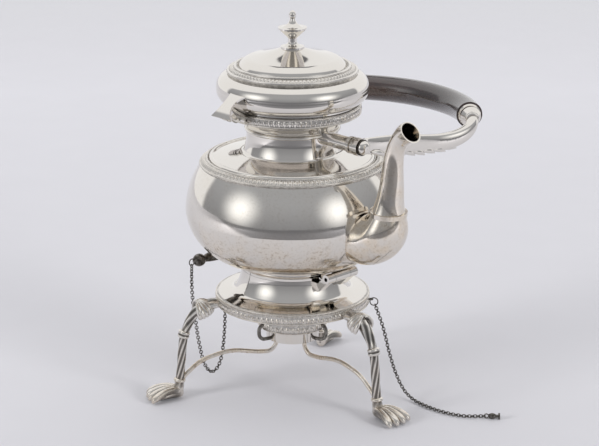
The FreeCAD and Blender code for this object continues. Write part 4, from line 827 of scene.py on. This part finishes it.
class KETTLE_OT_bands(bpy.types.Operator):
    """Chases rings of tongues, darts and beads between the two plain edges of each band"""
    bl_idname = "kettle.bands"
    bl_label = "Chased bands"

    def execute(self, context):
        relief = context.scene.kettle_sizes.relief
        bright = silver_material("Chased silver", tarnish_low=0.05, tarnish_high=0.35, film=0.4,
                                 spots=0.2, roughness=0.16)
        for name, ring in ORNAMENT_RINGS.items():
            body, radius, height, lean, half, edge, tongues, beads = ring
            step = 2 * math.pi / tongues * radius * MM
            free = half - EDGE_CLEAR * edge
            tall = (TONGUE_TALL_UNDER_BEADS if beads else TONGUE_TALL) * free * MM
            drop = TONGUE_DROP_UNDER_BEADS * free if beads else 0
            middle = band_point(radius, height, lean, -drop)
            rows = [facet(TONGUE_WIDE * step, tall, relief, TONGUE_TAPER)]
            ring_of(tongues, middle, lean)
            end(rows[0], name, smooth=20)
            rows.append(facet(DART_WIDE * step, DART_TALL * tall, DART_PROUD * relief, DART_TAPER))
            ring_of(tongues, middle, lean, half_step=True)
            end(rows[1], name + "_darts", smooth=20)
            if beads:
                size = BEAD_RADIUS * 2 * math.pi / beads * radius * MM
                rows.append(begin(bpy.ops.mesh.primitive_uv_sphere_add, segments=6, ring_count=4,
                                  radius=size))
                ring_of(beads, band_point(radius, height, lean, BEAD_RISE * free), lean)
                end(rows[-1], name + "_beads", smooth=60)
            for up in (edge - half, half - edge):
                place = band_point(radius, height, lean, up)
                rows.append(hoop(name + "_edge", place.x, edge * MM, 120, (0, 0, place.z)))
            dress(joined(rows), bright, body, "silver")
        return {"FINISHED"}


class KETTLE_OT_arms(bpy.types.Operator):
    """Casts the leaves and end collars of the swing handle's arms, and darkens its pivot joints"""
    bl_idname = "kettle.arms"
    bl_label = "Handle arms"

    def execute(self, context):
        cast = silver_material("Cast handle silver", tarnish_low=0.0, tarnish_high=0.2, film=0.4,
                               spots=0.3, roughness=0.12)
        leaf = end(ring_form(LEAF_STATIONS, 10), "leaf", smooth=60)
        for name, side in (("front_arm_leaves", 1), ("rear_arm_leaves", -1)):
            pieces = []
            for reach, out, height, tilt in LEAF_PLACES:
                place = Vector((side * (ARM_PLANE + out), reach, height)) * MM
                leaning = Matrix.Rotation(math.radians(tilt), 4, "Y")
                way = Matrix.Rotation(math.pi / 2, 4, "Z") @ leaning
                pieces.append(copy_of(leaf, name, Matrix.Translation(place) @ way))
            way = Vector((side * FERRULE_WAY.x, FERRULE_WAY.y, 0))
            tail = Vector((side * ARM_TAIL.x, ARM_TAIL.y, ARM_TAIL.z)) * MM
            for reach, radius in ARM_COLLARS:
                pieces.append(hoop(name, radius * MM, ARM_COLLAR_WIRE * MM, 20,
                                   tail + way * reach * MM,
                                   way.to_track_quat("Z", "Y").to_euler()))
            dress(joined(pieces), cast, "bail", "silver")
        bpy.data.objects.remove(leaf)
        shade = oxidised_material("Blackened joint silver", rubbed_least=0.0, rubbed_most=0.12)
        for cap, side in (("pivot_cap_front", 1), ("pivot_cap_rear", -1)):
            low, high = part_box(cap)
            inner = low[0] if side > 0 else high[0]
            centre = (inner + side * JOINT_WIRE, 0, (low[2] + high[2]) / 2)
            ring = hoop(cap + "_joint", (high[2] - low[2]) / 2, JOINT_WIRE, 32, centre,
                        (0, math.pi / 2, 0))
            dress(ring, shade, "kettle", "dark_silver")
        return {"FINISHED"}


class KETTLE_OT_legs(bpy.types.Operator):
    """Casts the three legs with shell, collars, twisted flutes and paw"""
    bl_idname = "kettle.legs"
    bl_label = "Legs"

    def execute(self, context):
        sizes = context.scene.kettle_sizes
        cast = silver_material("Cast silver", tarnish_low=0.0, tarnish_high=0.09, film=0.5,
                               spots=0.6, roughness=0.2, hollow_shade=True)
        limb = end(ring_form(LIMB_STATIONS, 12, sizes.flute_twist), "limb")
        collar = end(ring_form(COLLAR_STATIONS, 16), "collar")
        ankle = end(ring_form(ANKLE_STATIONS, 16), "ankle")
        shell = ring_form(SHELL_RIB_STATIONS, 8)
        fan(sizes.shell_ribs, SHELL_SPREAD, SHELL_CENTRE, SHELL_AXIS)
        end(shell, "shell")
        toes = ring_form(TOE_STATIONS, 10)
        fan(sizes.toes, TOE_SPREAD, TOE_CENTRE, UP)
        end(toes, "toes")
        pad = end(ring_form(PAD_STATIONS, 14), "pad")
        leg = joined([limb, collar, ankle, shell, toes, pad])
        smooth = leg.modifiers.new("smooth", "SUBSURF")
        smooth.levels = 1
        smooth.render_levels = 1
        bpy.ops.object.modifier_apply(modifier=smooth.name)
        # Marks the leg's hollows for the painted shade of the cast silver.
        mark_hollow_shade(leg)
        for node, degrees in LEG_TURNS.items():
            turned = Matrix.Rotation(math.radians(degrees), 4, "Z")
            dress(copy_of(leg, "cast_" + node, turned), cast, "stand", "silver", node)
        bpy.data.objects.remove(leg)
        return {"FINISHED"}


class KETTLE_OT_finishes(bpy.types.Operator):
    """Gives the raised and turned pieces their silver, wood and cotton"""
    bl_idname = "kettle.finishes"
    bl_label = "Finishes"

    def execute(self, context):
        bright = silver_material("Polished silver", tarnish_low=0.0, tarnish_high=0.10, film=0.4,
                                 spots=0.3, roughness=0.07)
        belly = silver_material("Burnished silver", tarnish_low=0.120, tarnish_high=0.185,
                                film=0.9, spots=1.0, roughness=0.08)
        spout = silver_material("Burnished spout silver", tarnish_low=0.14, tarnish_high=0.34,
                                film=0.85, spots=0.4, roughness=0.08)
        drawn = silver_material("Drawn silver wire", tarnish_low=0.05, tarnish_high=0.12,
                                film=0.85, spots=0.7, roughness=0.2)
        ground = oxidised_material("Blackened chased ground", rubbed_least=0.55, rubbed_most=0.9)
        hook = oxidised_material("Blackened silver wire", rubbed_least=0.12, rubbed_most=0.4)
        dark = bpy.data.materials["Blackened silver"]
        special = {"kettle_belly": belly, "spout": spout, "spout_ring": spout,
                   "bail_grip": wood_material(), "wick": cotton_material()}
        for part in ("front", "left", "rear"):
            special["stretcher_" + part] = drawn
        for part in ("shoulder", "neck", "lid", "stand", "lamp"):
            special[part + "_band"] = ground
        for part in ("left", "right", "back"):
            special["lamp_handle_" + part] = hook
        slots = {part["node"]: part["material_slot"] for part in frame["record"]["subparts"]}
        for name, node in NODES.items():
            plain = dark if slots[name] == "dark_silver" else bright
            node.data.materials.clear()
            node.data.materials.append(special.get(name, plain))
        return {"FINISHED"}


class KETTLE_PT_pieces(bpy.types.Panel):
    """Lists the steps that dress the kettle, with their sizes and colours"""
    bl_idname = "KETTLE_PT_pieces"
    bl_label = "Silver spirit kettle"
    bl_space_type = "VIEW_3D"
    bl_region_type = "UI"
    bl_category = "Kettle"

    def draw(self, context):
        for step in STEPS:
            self.layout.operator(step.bl_idname)
        for group in (context.scene.kettle_sizes, context.scene.kettle_colours):
            for name in group.__annotations__:
                self.layout.prop(group, name)


STEPS = (KETTLE_OT_stage, KETTLE_OT_chains, KETTLE_OT_bands, KETTLE_OT_arms, KETTLE_OT_legs,
         KETTLE_OT_finishes)
CLASSES = (KettleSizes, KettleColours, *STEPS, KETTLE_PT_pieces)


def register():
    for kind in CLASSES:
        bpy.utils.register_class(kind)
    bpy.types.Scene.kettle_sizes = bpy.props.PointerProperty(type=KettleSizes)
    bpy.types.Scene.kettle_colours = bpy.props.PointerProperty(type=KettleColours)


def unregister():
    del bpy.types.Scene.kettle_colours
    del bpy.types.Scene.kettle_sizes
    for kind in reversed(CLASSES):
        bpy.utils.unregister_class(kind)


def main():
    """Builds the kettle's dress and stage."""
    register()
    bpy.ops.object.select_all(action="DESELECT")
    bpy.ops.kettle.stage()
    bpy.ops.kettle.chains()
    bpy.ops.kettle.bands()
    bpy.ops.kettle.arms()
    bpy.ops.kettle.legs()
    bpy.ops.kettle.finishes()


if __name__ == "__main__":
    main()
